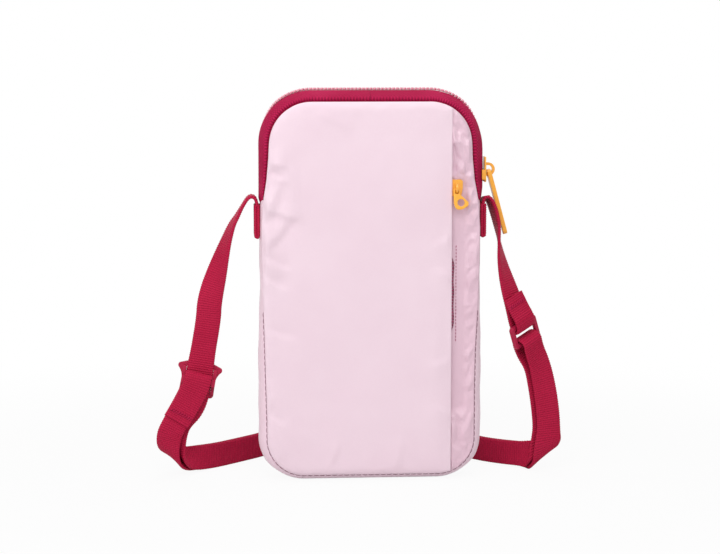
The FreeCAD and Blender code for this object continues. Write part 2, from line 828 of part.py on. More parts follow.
def build_pocket_pull():
    """A short pull that flares to one side round a large hole, with a small eye for the crown."""
    body = new_body("pocket_pull")
    sketch = new_sketch(body, "pocket_pull_outline", "XZ_Plane")
    clear, bar = dim.pocket_slider_clear, dim.pocket_crown_bar
    half, flare, length = dim.pocket_pull_head / 2, dim.pocket_pull_flare, dim.pocket_pull_length
    eye_top = pocket_crown_inside - clear - dim.pocket_pull_thickness * 0.13
    head, eye_low = eye_top - bar, dim.pocket_crown_radius + clear
    hole, hole_x, hole_z = dim.pocket_pull_hole, flare * 0.35, -length * 0.68
    trace(
        sketch,
        (half * -0.65, -length * 0.87),
        [
            (flare * 0.2, -length, length * 0.2, 1),
            (flare * 0.75, -length * 0.9, length * 0.35, 1),
            (flare, -length * 0.65, length * 0.2, 1),
            (half, -eye_low - bar * 0.4),
            (half, -head),
            (-half, -head),
            (-half, -length * 0.7),
            (half * -0.65, -length * 0.87),
        ],
    )
    eye = dim.pocket_crown_width / 2 + clear
    trace_box(sketch, -eye, eye, -eye_low, -eye_top)
    trace_circle(sketch, hole_x, hole_z, hole)
    pad(body, "pocket_pull_pad", sketch, dim.pocket_pull_thickness, both=True)
    turn = Rotation(Vector(1, 0, 0), -dim.pocket_pull_lean.value)
    out = pocket_plate_face + dim.pocket_crown_leg
    place(body, pocket_zip_side, -out, pocket_slider_middle, turn)
    keep("pocket_pull", body)


def build_tabs():
    """The folded webbing tabs that hang from both ends of the main zip."""
    cloth, core = dim.webbing_thickness, dim.tab_core / 2
    r, low, high = cloth + core, tab_low, tab_high
    steps = [
        (half_width, high),
        (half_width, low + r),
        (half_width + r, low, r, 1),
        (half_width + r * 2, low + r, r, 1),
        (half_width + r * 2, high),
        (half_width + r + core, high),
        (half_width + r + core, low + r),
        (half_width + r, low + cloth, core, -1),
        (half_width + cloth, low + r, core, -1),
        (half_width + cloth, high),
        (half_width, high),
    ]
    for label, side in (("strap_tab_left", -1), ("strap_tab_right", 1)):
        body = new_body(label)
        sketch = new_sketch(body, f"{label}_fold", "XZ_Plane")
        path = mirrored(steps, side)
        trace(sketch, path[0], path[1:])
        pad(body, f"{label}_pad", sketch, dim.webbing_width, both=True)
        keep(label, body)


adjuster_turn = Rotation(Vector(0, 1, 0), dim.adjuster_tilt.value)
rail_face = dim.webbing_thickness + dim.strap_clear / 2
tail_rear = dim.webbing_thickness + dim.strap_clear
bar_rear = tail_rear + dim.webbing_thickness
bar_front = bar_rear + dim.adjuster_plate
slot_half = dim.webbing_width / 2 + dim.slot_clear


def adjuster_body(label):
    """An empty body in the adjuster's own place: x across the strap, z up along it, front at -y."""
    body = new_body(label)
    place(body, dim.adjuster_x, dim.adjuster_y, dim.adjuster_z, adjuster_turn)
    return body


def rail_edge(half, waist, lug):
    """The right outer edge of the adjuster, from its foot up: round foot, waist and flared lug."""
    foot, tip = dim.adjuster_foot, dim.lug_tip
    return [
        (waist + dim.adjuster_flare, foot - half, foot, 1),
        (waist, Size.of(0)),
        (lug - tip, half * 0.57, half * 0.9, -1),
        (lug - tip * 1.8, half * 0.82, half * 0.155, 1),
    ]


def build_adjuster():
    """Three-bar slide: outer bars behind the running strap, the middle bar in front of it."""
    body = adjuster_body("strap_adjuster")
    half, waist, lug = dim.adjuster_height / 2, dim.adjuster_waist / 2, dim.adjuster_lug / 2
    foot = waist + dim.adjuster_flare - dim.adjuster_foot
    right = rail_edge(half, waist, lug)
    rear = -dim.strap_clear - dim.adjuster_plate
    frame = new_sketch(body, "adjuster_frame", "XZ_Plane", rear)
    left = [(-right[3][0], right[3][1])]
    for k in (2, 1, 0):
        u, v = right[k][:2]
        turn = right[k + 1]
        left.append((-u, v, turn[2], turn[3]) if len(turn) == 4 else (-u, v))
    trace(
        frame,
        (-foot, -half),
        [
            (foot, -half),
            *right,
            (waist * 0.72, half),
            (waist * -0.72, half),
            *left,
            (-foot, -half, right[0][2], 1),
        ],
    )
    window = half - dim.adjuster_bar
    trace_box(frame, -slot_half, slot_half, -window, window)
    pad(body, "adjuster_frame_pad", frame, dim.adjuster_plate)
    rails = new_sketch(body, "adjuster_rails", "XZ_Plane", -dim.strap_clear)
    for side in (-1, 1):
        across = sorted([slot_half * side, waist * side], key=lambda s: s.value)
        trace_box(rails, *across, -window, window)
    pad(body, "adjuster_rails_pad", rails, rail_face + dim.strap_clear)
    posts = new_sketch(body, "adjuster_posts", "XZ_Plane", rail_face)
    bar = dim.adjuster_middle_bar / 2
    for side in (-1, 1):
        across = sorted([slot_half * side, waist * side], key=lambda s: s.value)
        trace_box(posts, *across, bar * -1.8, bar * 1.8)
    pad(body, "adjuster_posts_pad", posts, bar_front - rail_face)
    middle = new_sketch(body, "adjuster_middle", "XZ_Plane", bar_rear)
    trace_box(middle, -waist, waist, -bar, bar)
    pad(body, "adjuster_middle_pad", middle, dim.adjuster_plate)
    keep("strap_adjuster", body)


def build_adjuster_fold():
    """The long strap's end, folded round the middle bar, and the row of stitches that holds it."""
    body = adjuster_body("adjuster_fold")
    cloth, bar, length = dim.webbing_thickness, dim.adjuster_middle_bar / 2, dim.fold_length
    sewn = dim.bartack_height - dim.bartack_thread / 2 - dim.bartack_proud
    room = dim.adjuster_plate / 2
    centre = bar_rear + room
    r = room + cloth
    sketch = new_sketch(body, "adjuster_fold_side", "YZ_Plane")
    trace(
        sketch,
        (-bar_rear - cloth, -length),
        [
            (-tail_rear, -length),
            (-tail_rear, bar),
            (-centre, bar + r, r, 1),
            (-centre - r, bar, r, 1),
            (-centre - r, -bar),
            (-bar_rear - cloth, -sewn),
            (-bar_rear - cloth, -length),
        ],
    )
    trace(
        sketch,
        (-bar_rear, -sewn),
        [
            (-bar_rear, bar),
            (-centre, bar + room, room, 1),
            (-bar_front, bar, room, 1),
            (-bar_front, -bar),
            (-bar_rear, -sewn),
        ],
    )
    pad(body, "adjuster_fold_pad", sketch, dim.webbing_width, both=True)
    keep("adjuster_fold", body)

    stitches = adjuster_body("adjuster_bartack")
    row = new_sketch(stitches, "adjuster_bartack_row", "XZ_Plane", bar_rear + cloth)
    across, thread = dim.bartack_width / 2, dim.bartack_thread / 2
    trace_box(row, -across, across, -dim.bartack_height - thread, thread - dim.bartack_height)
    pad(stitches, "adjuster_bartack_pad", row, dim.bartack_proud)
    keep("adjuster_bartack", stitches)


ring_turn = Rotation(Vector(0, 0, 1), dim.ring_turn.value)
ring_turn = ring_turn.multiply(Rotation(Vector(0, 1, 0), -dim.ring_tilt.value))
bar_offset = (dim.ring_height - dim.ring_bar) / 2


def build_ring():
    """The flat ring: one strap goes round its upper bar, the other round its lower bar."""
    body = new_body("strap_ring")
    sketch = new_sketch(body, "ring_outline", "XZ_Plane")
    inner = dim.webbing_width / 2 + dim.ring_side_clear
    outer, half = inner + dim.ring_bar, dim.ring_height / 2
    window = half - dim.ring_bar
    trace_rounded(sketch, -outer, outer, -half, half, dim.ring_corner)
    trace_rounded(sketch, -inner, inner, -window, window, dim.ring_corner / 2)
    pad(body, "ring_pad", sketch, dim.ring_plate, both=True)
    place(body, dim.ring_x, dim.ring_y, dim.ring_z, ring_turn)
    keep("strap_ring", body)


# Hand-chosen route points of the strap, each with the direction across the webbing.
LEFT_RUN = [
    ((-54.65, 0.0, 134.2), (0.0, -1.0, 0.0)),
    ((-57.6, 0.0, 134.9), (0.0, -1.0, 0.0)),
    ((-60.7, 0.0, 130.6), (0.0, -1.0, 0.0)),
    ((-63.4, 0.0, 127.2), (0.09, -1.0, 0.0)),
    ((-65.8, 0.0, 123.4), (0.19, -0.98, 0.0)),
    ((-68.6, 0.0, 115.7), (0.36, -0.93, 0.0)),
    ((-71.0, 0.0, 108.0), (0.57, -0.82, 0.0)),
    ((-73.2, 0.3, 100.3), (0.77, -0.64, 0.0)),
    ((-75.4, 0.7, 92.6), (0.92, -0.4, 0.0)),
    ((-77.0, 1.2, 85.0), (0.99, -0.16, 0.0)),
]
# Middle line between the two layers on the floor, with half the distance between them.
FLOOR_RUN = [
    ((-86.5, 1.6, 27.2), (0.98, 0.0, -0.18), 1.7),
    ((-88.3, 2.9, 20.4), (0.97, -0.1, -0.2), 1.5),
    ((-90.2, 5.8, 13.4), (0.85, -0.45, -0.2), 1.6),
    ((-88.6, 9.8, 7.6), (0.5, -0.7, -0.5), 1.7),
    ((-84.0, 15.8, 6.5), (0.15, -0.27, -0.95), 1.3),
    ((-75.5, 24.5, 6.1), (0.0, 0.0, -1.0), 0.95),
    ((-63.5, 36.5, 6.1), (0.0, 0.0, -1.0), 0.95),
    ((-49.5, 51.0, 6.1), (0.0, 0.0, -1.0), 0.95),
    ((-40.0, 70.0, 6.1), (0.0, 0.0, -1.0), 0.95),
    ((-37.0, 92.0, 6.1), (0.0, 0.0, -1.0), 0.95),
    ((-27.0, 112.0, 6.1), (0.0, 0.0, -1.0), 0.95),
    ((-6.0, 121.0, 6.1), (0.0, 0.0, -1.0), 0.95),
    ((17.0, 115.0, 6.1), (0.0, 0.0, -1.0), 0.95),
    ((31.0, 97.0, 6.1), (0.0, 0.0, -1.0), 0.95),
    ((36.0, 75.0, 6.1), (0.0, 0.0, -1.0), 0.95),
    ((44.0, 54.0, 6.1), (0.0, 0.0, -1.0), 0.95),
    ((56.0, 34.0, 6.1), (0.0, 0.0, -1.0), 0.95),
    ((67.0, 24.0, 6.1), (0.0, 0.0, -1.0), 0.95),
    ((76.0, 17.0, 6.4), (-0.1, -0.08, -0.99), 2.5),
]
# The same line where it climbs to the ring.
RISER_RUN = [
    ((81.5, 10.8, 8.4), (-0.55, -0.38, -0.74), 4.2),
    ((85.6, 8.6, 14.2), (-0.8, -0.45, -0.4), 4.0),
    ((86.4, 7.0, 22.0), (-0.84, -0.52, -0.12), 2.2),
    ((85.6, 5.2, 33.0), (-0.82, -0.57, 0.06), 0.95),
    ((83.6, 3.6, 44.5), (-0.8, -0.57, -0.2), 0.95),
    ((80.6, 2.9, 54.0), (-0.77, -0.55, -0.3), 1.6),
    ((78.4, 2.2, 60.4), (-0.755, -0.549, -0.358), 2.9),
]
SHORT_RUN = [
    ((54.65, 0.0, 133.6), (0.0, 1.0, 0.0)),
    ((57.4, 0.0, 133.2), (0.0, 1.0, 0.0)),
    ((60.2, 0.0, 127.0), (0.0, 1.0, 0.0)),
    ((61.6, 0.0, 121.0), (0.0, 1.0, 0.0)),
    ((62.3, 0.0, 115.0), (0.1, 1.0, 0.0)),
    ((63.3, 0.2, 107.6), (0.25, 0.95, 0.05)),
    ((65.0, 0.0, 100.0), (0.42, 0.87, 0.12)),
    ((67.2, -0.8, 92.2), (0.58, 0.75, 0.22)),
    ((69.5, -1.5, 84.6), (0.7, 0.63, 0.31)),
]


# Where the tab's slot was when the routes were chosen, and the height below which they stay put.
DRAWN_SIDE, DRAWN_HEIGHT, HANG_FOOT = 54.65, 131.0, 80.0


def hung(route, side):
    """A route below a tab, moved with it: fully at the tab's height, and not at its foot."""
    move = Vector(side * (tab_middle.value - DRAWN_SIDE), 0, tab_high.value - DRAWN_HEIGHT)
    moved = []
    for point, across in route:
        share = (point[2] - HANG_FOOT) / (DRAWN_HEIGHT - HANG_FOOT)
        moved.append((Vector(point) + move * max(0.0, min(1.0, share)), Vector(across)))
    return moved


def ribbon_frames(label, route):
    """Places along a route of straight runs and tangent arcs: point, width and thickness direction."""
    points = [Vector(p) for p, w in route]
    across = [Vector(w) for p, w in route]
    frames, radii = [], []

    def add(point, along, u):
        k = min(int(u), len(across) - 2)
        wide = across[k] * (1 - u + k) + across[k + 1] * (u - k)
        wide = (wide - along * wide.dot(along)).normalize()
        frames.append((point, wide, along.cross(wide)))

    before = (points[1] - points[0]).normalize()
    add(points[0], before, 0)
    for k in range(1, len(points) - 1):
        after = (points[k + 1] - points[k]).normalize()
        runs = (points[k] - points[k - 1]).Length, (points[k + 1] - points[k]).Length
        turn = before.getAngle(after)
        reach = 0.45 * min(runs)
        radius = reach / math.tan(turn / 2)
        radii.append(radius)
        inwards = (after - before * math.cos(turn)).normalize()
        start = points[k] - before * reach
        steps = max(1, math.ceil(math.degrees(turn) / 20))
        for j in range(steps + 1):
            a = turn * j / steps
            spot = start + before * (radius * math.sin(a)) + inwards * (radius * (1 - math.cos(a)))
            add(spot, before * math.cos(a) + inwards * math.sin(a), k + 0.45 * (2 * j / steps - 1))
        before = after
    add(points[-1], before, len(points) - 1)
    print(label, "radii in mm:", " ".join(f"{r:.1f}" for r in radii))
    return frames


def ribbon(label, frames):
    """A flat strap of plain facets through the frames, with its share of section times length."""
    wide, thick = dim.webbing_width.value / 2, dim.webbing_thickness.value / 2
    corners = []
    for point, across, facing in frames:
        w, t = across * wide, facing * thick
        corners.append([point - w - t, point + w - t, point + w + t, point - w + t])

    def facet(*points):
        return Part.Face(Part.makePolygon([*points, points[0]]))

    faces = [facet(*corners[0]), facet(*corners[-1])]
    for here, there in zip(corners, corners[1:]):
        for k, m in ((0, 1), (1, 2)):
            faces.append(facet(here[k], here[m], there[m]))
            faces.append(facet(here[k], there[m], there[k]))
        # The opposite sides are parted along the same way, so the thickness stays even.
        for k, m in ((2, 3), (3, 0)):
            faces.append(facet(here[k], here[m], there[k]))
            faces.append(facet(here[m], there[m], there[k]))
    shape = Part.makeSolid(Part.makeShell(faces))
    if shape.Volume < 0:
        shape.reverse()
    length = sum((b[0] - a[0]).Length for a, b in zip(frames, frames[1:]))
    share = shape.Volume / (length * wide * thick * 4)
    print(f"{label}: length {length:.1f} mm, volume share {share:.3f}, {len(faces)} facets")
    feature = doc.addObject("Part::Feature", label)
    feature.Shape = shape
    keep(label, feature)


def adjuster_spot(down, front):
    """A point in the adjuster's own place, by its distance down the strap and out to the front."""
    base = Vector(dim.adjuster_x.value, dim.adjuster_y.value, dim.adjuster_z.value)
    return base + adjuster_turn.multVec(Vector(0, -front, -down))


def ring_spot(up, front):
    """A point in the ring's own place, by its height and its distance out to the front."""
    base = Vector(dim.ring_x.value, dim.ring_y.value, dim.ring_z.value)
    return base + ring_turn.multVec(Vector(0, -front, up))


def loop_layer(side):
    """The loop's points moved to the inner (-1) or the outer (1) layer."""
    route = []
    line = FLOOR_RUN + RISER_RUN
    for k, (point, across, gap) in enumerate(line):
        along = Vector(line[min(k + 1, len(line) - 1)][0]) - Vector(line[max(k - 1, 0)][0])
        facing = along.cross(Vector(across)).normalize()
        route.append((Vector(point) + facing * (gap * side), Vector(across)))
    return route


def nearest(frames, point):
    """The frame that lies closest to a point."""
    return min(range(len(frames)), key=lambda k: (frames[k][0] - point).Length)


def build_long_strap():
    """From the left tab through the adjuster, behind the pouch to the ring, and back to the fold."""
    half = dim.webbing_thickness.value / 2
    tab = Vector(-tab_middle.value, 0, tab_high.value)
    flat = adjuster_turn.multVec(Vector(1, 0, 0))
    ring_across = -ring_turn.multVec(Vector(1, 0, 0))
    room = dim.ring_fold_room.value + half
    turn_height = dim.ring_bar.value / 2 - bar_offset.value + dim.strap_clear.value * 2 + half
    inner = loop_layer(-1)
    route = [
        (tab, Vector(0, -1, 0)),
        *hung(LEFT_RUN, -1),
        (adjuster_spot(-dim.adjuster_lead.value, half), flat),
        (adjuster_spot(dim.adjuster_trail.value, half), flat),
        *inner,
        (ring_spot(turn_height, -room), ring_across),
        (ring_spot(turn_height, 0), ring_across),
    ]
    frames = ribbon_frames("inner layer", route)
    top = nearest(frames, inner[0][0])
    climb = nearest(frames, inner[len(FLOOR_RUN) - 1][0])
    ribbon("strap_upper", frames[: top + 1])
    ribbon("strap_floor_inner", frames[top : climb + 1])
    ribbon("strap_riser_inner", frames[climb:])
    outer = loop_layer(1)
    start = dim.fold_length.value + dim.seat_gap.value
    route = [
        (adjuster_spot(start, bar_rear.value), flat),
        (adjuster_spot(start + dim.fold_trail.value, bar_rear.value), flat),
        *outer[2:],
        (ring_spot(turn_height, room), ring_across),
        (ring_spot(turn_height, 0), ring_across),
    ]
    frames = ribbon_frames("outer layer", route)
    climb = nearest(frames, outer[len(FLOOR_RUN) - 1][0])
    ribbon("strap_floor_outer", frames[: climb + 1])
    ribbon("strap_riser_outer", frames[climb:])


def build_short_strap():
    """From the right tab down to the ring, round its upper bar and back up."""
    half = dim.webbing_thickness.value / 2
    tab = Vector(tab_middle.value, 0, tab_high.value)
    across = ring_turn.multVec(Vector(1, 0, 0))
    room = dim.short_fold_room.value + half
    turn_height = bar_offset.value - dim.ring_bar.value / 2 - dim.strap_clear.value * 1.75 - half
    end = bar_offset.value + dim.short_fold_length.value
    route = [
        (tab, Vector(0, 1, 0)),
        *hung(SHORT_RUN, 1),
        (ring_spot(turn_height, -room), across),
        (ring_spot(turn_height, room), across),
        (ring_spot(bar_offset.value + dim.ring_bar.value, room), across),
        (ring_spot(bar_offset.value + dim.ring_bar.value * 3, half), across),
        (ring_spot(end, -2 * half), across),
    ]
    ribbon("short_strap", ribbon_frames("short strap", route))

    # The stitches lie on the front layer, which leans back from the ring's bar.
    foot, top = route[-2][0], route[-1][0]
    lean = Rotation(Vector(1, 0, 0), math.degrees(math.asin(-3 * half / (top - foot).Length)))
    turn = ring_turn.multiply(lean)
    body = new_body("short_strap_bartack")
    sketch = new_sketch(body, "short_bartack_row", "XZ_Plane", half)
    wide, thread = dim.bartack_width / 2, dim.bartack_thread / 2
    trace_box(sketch, -wide, wide, -thread, thread)
    pad(body, "short_bartack_pad", sketch, dim.bartack_proud)
    spot = top - turn.multVec(Vector(0, 0, dim.bartack_thread.value * 2))
    body.Placement = Placement(spot, turn)
    keep("short_strap_bartack", body)


def build_all():
    """Every piece of the pouch."""
    build_band()
    build_layers()
    build_side_strip()
    build_main_teeth()
    build_pocket_zip()
    build_main_slider()
    build_main_pull()
    build_pocket_slider()
    build_pocket_pull()
    build_tabs()
    build_adjuster()
    build_adjuster_fold()
    build_ring()
    build_long_strap()
    build_short_strap()


def check_and_write():
    """Stops at anything that failed, then writes one file for each piece."""
    doc.recompute()
    for thing in doc.Objects:
        failed = [s for s in thing.State if s in ("Invalid", "Error")]
        assert not failed, f"{thing.Label}: {thing.State}"
    os.makedirs("parts", exist_ok=True)
    for label, thing in nodes.items():
        shape = thing.Shape
        assert not shape.isNull() and shape.isValid(), label
        shape.exportStep(f"parts/{label}.step")


build_all()
check_and_write()
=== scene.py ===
"""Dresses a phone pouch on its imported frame: padded covers, zips, webbing strap and yellow pulls.

Frame: metres, +Z up, the front faces -Y. Sizes in the classes below are millimetres, as in the part's
source, and turn into metres where a mesh is made.
"""

from __future__ import annotations

import json
import logging
import math
from collections.abc import Sequence
from dataclasses import dataclass, field
from enum import Enum

import bmesh
import bpy
import numpy as np
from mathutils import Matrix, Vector, noise

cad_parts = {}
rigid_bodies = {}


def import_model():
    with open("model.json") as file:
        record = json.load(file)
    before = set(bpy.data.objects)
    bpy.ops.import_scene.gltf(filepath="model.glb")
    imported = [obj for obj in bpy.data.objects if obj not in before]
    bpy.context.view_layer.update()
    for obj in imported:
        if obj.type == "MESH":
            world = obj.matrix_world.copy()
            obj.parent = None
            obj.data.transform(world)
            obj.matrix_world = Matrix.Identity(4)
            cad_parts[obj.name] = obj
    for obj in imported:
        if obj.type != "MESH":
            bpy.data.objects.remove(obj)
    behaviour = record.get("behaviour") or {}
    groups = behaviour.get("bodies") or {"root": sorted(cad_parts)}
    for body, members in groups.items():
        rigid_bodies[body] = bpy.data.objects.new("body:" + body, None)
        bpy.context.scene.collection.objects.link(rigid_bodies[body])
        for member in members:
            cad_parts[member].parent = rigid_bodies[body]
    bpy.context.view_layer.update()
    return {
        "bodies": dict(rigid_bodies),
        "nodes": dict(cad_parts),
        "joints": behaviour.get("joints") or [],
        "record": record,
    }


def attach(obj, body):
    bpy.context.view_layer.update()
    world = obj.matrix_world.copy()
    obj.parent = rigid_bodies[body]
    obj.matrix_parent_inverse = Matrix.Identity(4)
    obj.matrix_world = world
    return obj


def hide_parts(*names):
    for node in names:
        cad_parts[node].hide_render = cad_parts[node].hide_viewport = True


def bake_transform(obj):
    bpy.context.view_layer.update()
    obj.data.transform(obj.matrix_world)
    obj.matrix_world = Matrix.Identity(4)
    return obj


LOG = logging.getLogger("pouch")
FRAME: dict = {}
MM = 0.001
UV_NAME = "cloth"
ALONG = 90.0
CLOTH_MERGE = 1e-6
NODE_MERGE = 2e-6
Array = np.ndarray
Point = tuple[float, float, float]
Colour = tuple[int, int, int]
Line = tuple[Array, Array, Array, Array]


class Side(Enum):
    """Which face or flank of the pouch, with its sign."""

    FRONT = -1
    BACK = 1
    LEFT = -2
    RIGHT = 2

    @property
    def sign(self) -> int:
        """-1 for front and left, 1 for back and right."""
        return -1 if self.value < 0 else 1

    @property
    def word(self) -> str:
        """The name that the frame's nodes use."""
        return self.name.lower()


class Weave(Enum):
    """How the threads of a cloth lie."""

    PLAIN = "plain"
    RIBBED = "ribbed"


def linear(rgb: Sequence[int]) -> tuple[float, float, float, float]:
    """Turns a colour as seen on a screen, 0 to 255, into linear light.

    Args:
        rgb: Red, green and blue.

    Returns:
        The colour with full opacity.
    """
    parts = [c / 255 for c in rgb]
    flat = [c / 12.92 if c <= 0.04045 else ((c + 0.055) / 1.055) ** 2.4 for c in parts]
    return (flat[0], flat[1], flat[2], 1.0)


def smooth(low: float, high: float, value: Array | float) -> Array | float:
    """A soft step from 0 at low to 1 at high."""
    t = np.clip((np.asarray(value, float) - low) / (high - low), 0.0, 1.0)
    return t * t * (3 - 2 * t)


def rounded(share: Array) -> Array:
    """A quarter round: steep at 0, level at 1 and beyond."""
    return np.sqrt(1 - (1 - np.clip(share, 0, 1)) ** 2)


class NodeBench:
    """Places nodes in one tree and links them."""

    def __init__(self, tree: bpy.types.NodeTree) -> None:
        """Keeps the tree."""
        self.tree = tree

    def put(self, kind: str, settings: dict | None = None, inputs: dict | None = None) -> bpy.types.Node:
        """Adds a node.

        Args:
            kind: The node's type.
            settings: Its own properties.
            inputs: Its sockets by name or number, each a value or a socket to link from.

        Returns:
            The new node.
        """
        node = self.tree.nodes.new(kind)
        for name, value in (settings or {}).items():
            setattr(node, name, value)
        for key, value in (inputs or {}).items():
            self.feed(node, key, value)
        return node

    def feed(self, node: bpy.types.Node, key: str | int, value: object) -> None:
        """Sets a socket, or links another socket into it.

        Args:
            node: The node.
            key: The socket's name or number.
            value: A value, or a socket to link from.
        """
        if isinstance(value, bpy.types.NodeSocket):
            self.tree.links.new(value, node.inputs[key])
        else:
            node.inputs[key].default_value = value

    def math(self, operation: str, *values: object) -> bpy.types.NodeSocket:
        """Adds a Math node and gives its result."""
        node = self.put("ShaderNodeMath", {"operation": operation}, dict(enumerate(values)))
        return node.outputs[0]

    def mix(self, share: object, first: object, second: object) -> bpy.types.NodeSocket:
        """Mixes two colours and gives the result.

        Args:
            share: How much of the second one.
            first: The first colour.
            second: The second colour.

        Returns:
            The mixed colour.
        """
        node = self.put("ShaderNodeMix", {"data_type": "RGBA"})
        for key, value in ((0, share), (6, first), (7, second)):
            self.feed(node, key, value)
        return node.outputs[2]


class ShaderGroups:
    """The shader groups that several finishes share, each built once.

    Attributes:
        RIB: Share of the crosswise ribs in a ribbed weave; the lengthwise threads have the rest.
        BROAD: Share of the broad clouds in the mottle; the fine ones have the rest.
        FINER: How much finer the fine clouds are.
        CONTRAST: The noise that becomes no mottle, and full mottle.
    """

    RIB = 0.65
    BROAD = 0.65
    FINER = 34.0
    CONTRAST = (0.36, 0.64)

    @staticmethod
    def fresh(
        name: str, inputs: dict[str, tuple], outputs: dict[str, str]
    ) -> tuple[bpy.types.NodeTree, NodeBench, dict[str, bpy.types.NodeSocket], bpy.types.Node]:
        """Starts a group.

        Args:
            name: The group's name.
            inputs: Socket name to (socket type, default).
            outputs: Socket name to socket type.

        Returns:
            The tree, its bench, its input sockets by name and its output node.
        """
        tree = bpy.data.node_groups.new(name, "ShaderNodeTree")
        for label, (kind, default) in inputs.items():
            socket = tree.interface.new_socket(label, in_out="INPUT", socket_type=kind)
            if default is not None:
                socket.default_value = default
        for label, kind in outputs.items():
            tree.interface.new_socket(label, in_out="OUTPUT", socket_type=kind)
        bench = NodeBench(tree)
        entry = bench.put("NodeGroupInput")
        leave = bench.put("NodeGroupOutput")
        return tree, bench, {s.name: s for s in entry.outputs}, leave

    @classmethod
    def weave(cls, kind: Weave) -> bpy.types.NodeTree:
        """The raised threads of a cloth, on coordinates in metres.

        Args:
            kind: How the threads lie.

        Returns:
            A group with the inputs Vector and Pitch and the outputs Height and Groove, the mask of the shade
            painted into the grooves.
        """
        name = f"weave_{kind.value}"
        if name in bpy.data.node_groups:
            return bpy.data.node_groups[name]
        number = "NodeSocketFloat"
        tree, bench, entry, leave = cls.fresh(
            name,
            {"Vector": ("NodeSocketVector", None), "Pitch": (number, 0.0006)},
            {"Height": number, "Groove": number},
        )
        parts = bench.put("ShaderNodeSeparateXYZ", None, {0: entry["Vector"]})
        turn = bench.math("DIVIDE", math.tau, entry["Pitch"])
        along = bench.math("MULTIPLY", parts.outputs[0], turn)
        across = bench.math("MULTIPLY", parts.outputs[1], turn)
        if kind is Weave.PLAIN:
            wave = bench.math("MULTIPLY", bench.math("SINE", along), bench.math("SINE", across))
        else:
            threads = bench.math("MULTIPLY", bench.math("SINE", across), 1 - cls.RIB)
            wave = bench.math("MULTIPLY_ADD", bench.math("COSINE", along), cls.RIB, threads)
        height = bench.math("MULTIPLY_ADD", wave, 0.5, 0.5)
        bench.feed(leave, "Height", height)
        # How deep in a groove each point lies; the cloth finish darkens it there as painted shade.
        bench.feed(leave, "Groove", bench.math("SUBTRACT", 1.0, height))
        return tree

    @classmethod
    def mottle(cls) -> bpy.types.NodeTree:
        """Uneven colour and gloss, as dye and handling leave them.

        Returns:
            A group with the inputs Vector, Colour, Shade, Scale and Amount, and the outputs Colour and Mask.
        """
        name = "dye_mottle"
        if name in bpy.data.node_groups:
            return bpy.data.node_groups[name]
        number, colour = "NodeSocketFloat", "NodeSocketColor"
        tree, bench, entry, leave = cls.fresh(
            name,
            {
                "Vector": ("NodeSocketVector", None),
                "Colour": (colour, (0.8, 0.8, 0.8, 1.0)),
                "Shade": (colour, (0.6, 0.6, 0.6, 1.0)),
                "Scale": (number, 40.0),
                "Amount": (number, 0.5),
            },
            {"Colour": colour, "Mask": number},
        )
        cloud = bench.put("ShaderNodeTexNoise", None, {"Vector": entry["Vector"], "Scale": entry["Scale"]})
        cloud.inputs["Detail"].default_value = 4.0
        fine_scale = bench.math("MULTIPLY", entry["Scale"], cls.FINER)
        fine = bench.put("ShaderNodeTexNoise", None, {"Vector": entry["Vector"], "Scale": fine_scale})
        broad = bench.math("MULTIPLY", cloud.outputs[0], cls.BROAD)
        both = bench.math("MULTIPLY_ADD", fine.outputs[0], 1 - cls.BROAD, broad)
        spread = bench.put("ShaderNodeMapRange", None, {0: both, 1: cls.CONTRAST[0], 2: cls.CONTRAST[1]})
        mask = bench.math("MULTIPLY", spread.outputs[0], entry["Amount"])
        bench.feed(leave, "Colour", bench.mix(mask, entry["Colour"], entry["Shade"]))
        bench.feed(leave, "Mask", mask)
        return tree

    @classmethod
    def dyed(
        cls,
        bench: NodeBench,
        spot: bpy.types.NodeSocket,
        finish: ClothFinish | HardFinish,
        scale: float,
        amount: float,
    ) -> bpy.types.Node:
        """Places the mottle in a material.

        Args:
            bench: The material's bench.
            spot: The coordinates that it lies on.
            finish: The finish, with its two colours.
            scale: How small its clouds are.
            amount: How strong it is.

        Returns:
            The group's node.
        """
        colours = {"Colour": linear(finish.colour), "Shade": linear(finish.shade)}
        sizes = {"Vector": spot, "Scale": scale, "Amount": amount}
        return bench.put("ShaderNodeGroup", {"node_tree": cls.mottle()}, {**colours, **sizes})


def start_material(name: str) -> tuple[bpy.types.Material, NodeBench, bpy.types.Node]:
    """Starts a material.

    Args:
        name: Its name.

    Returns:
        The material, its bench and its shader.
    """
    made = bpy.data.materials.new(name)
    made.use_nodes = True
    return made, NodeBench(made.node_tree), made.node_tree.nodes["Principled BSDF"]


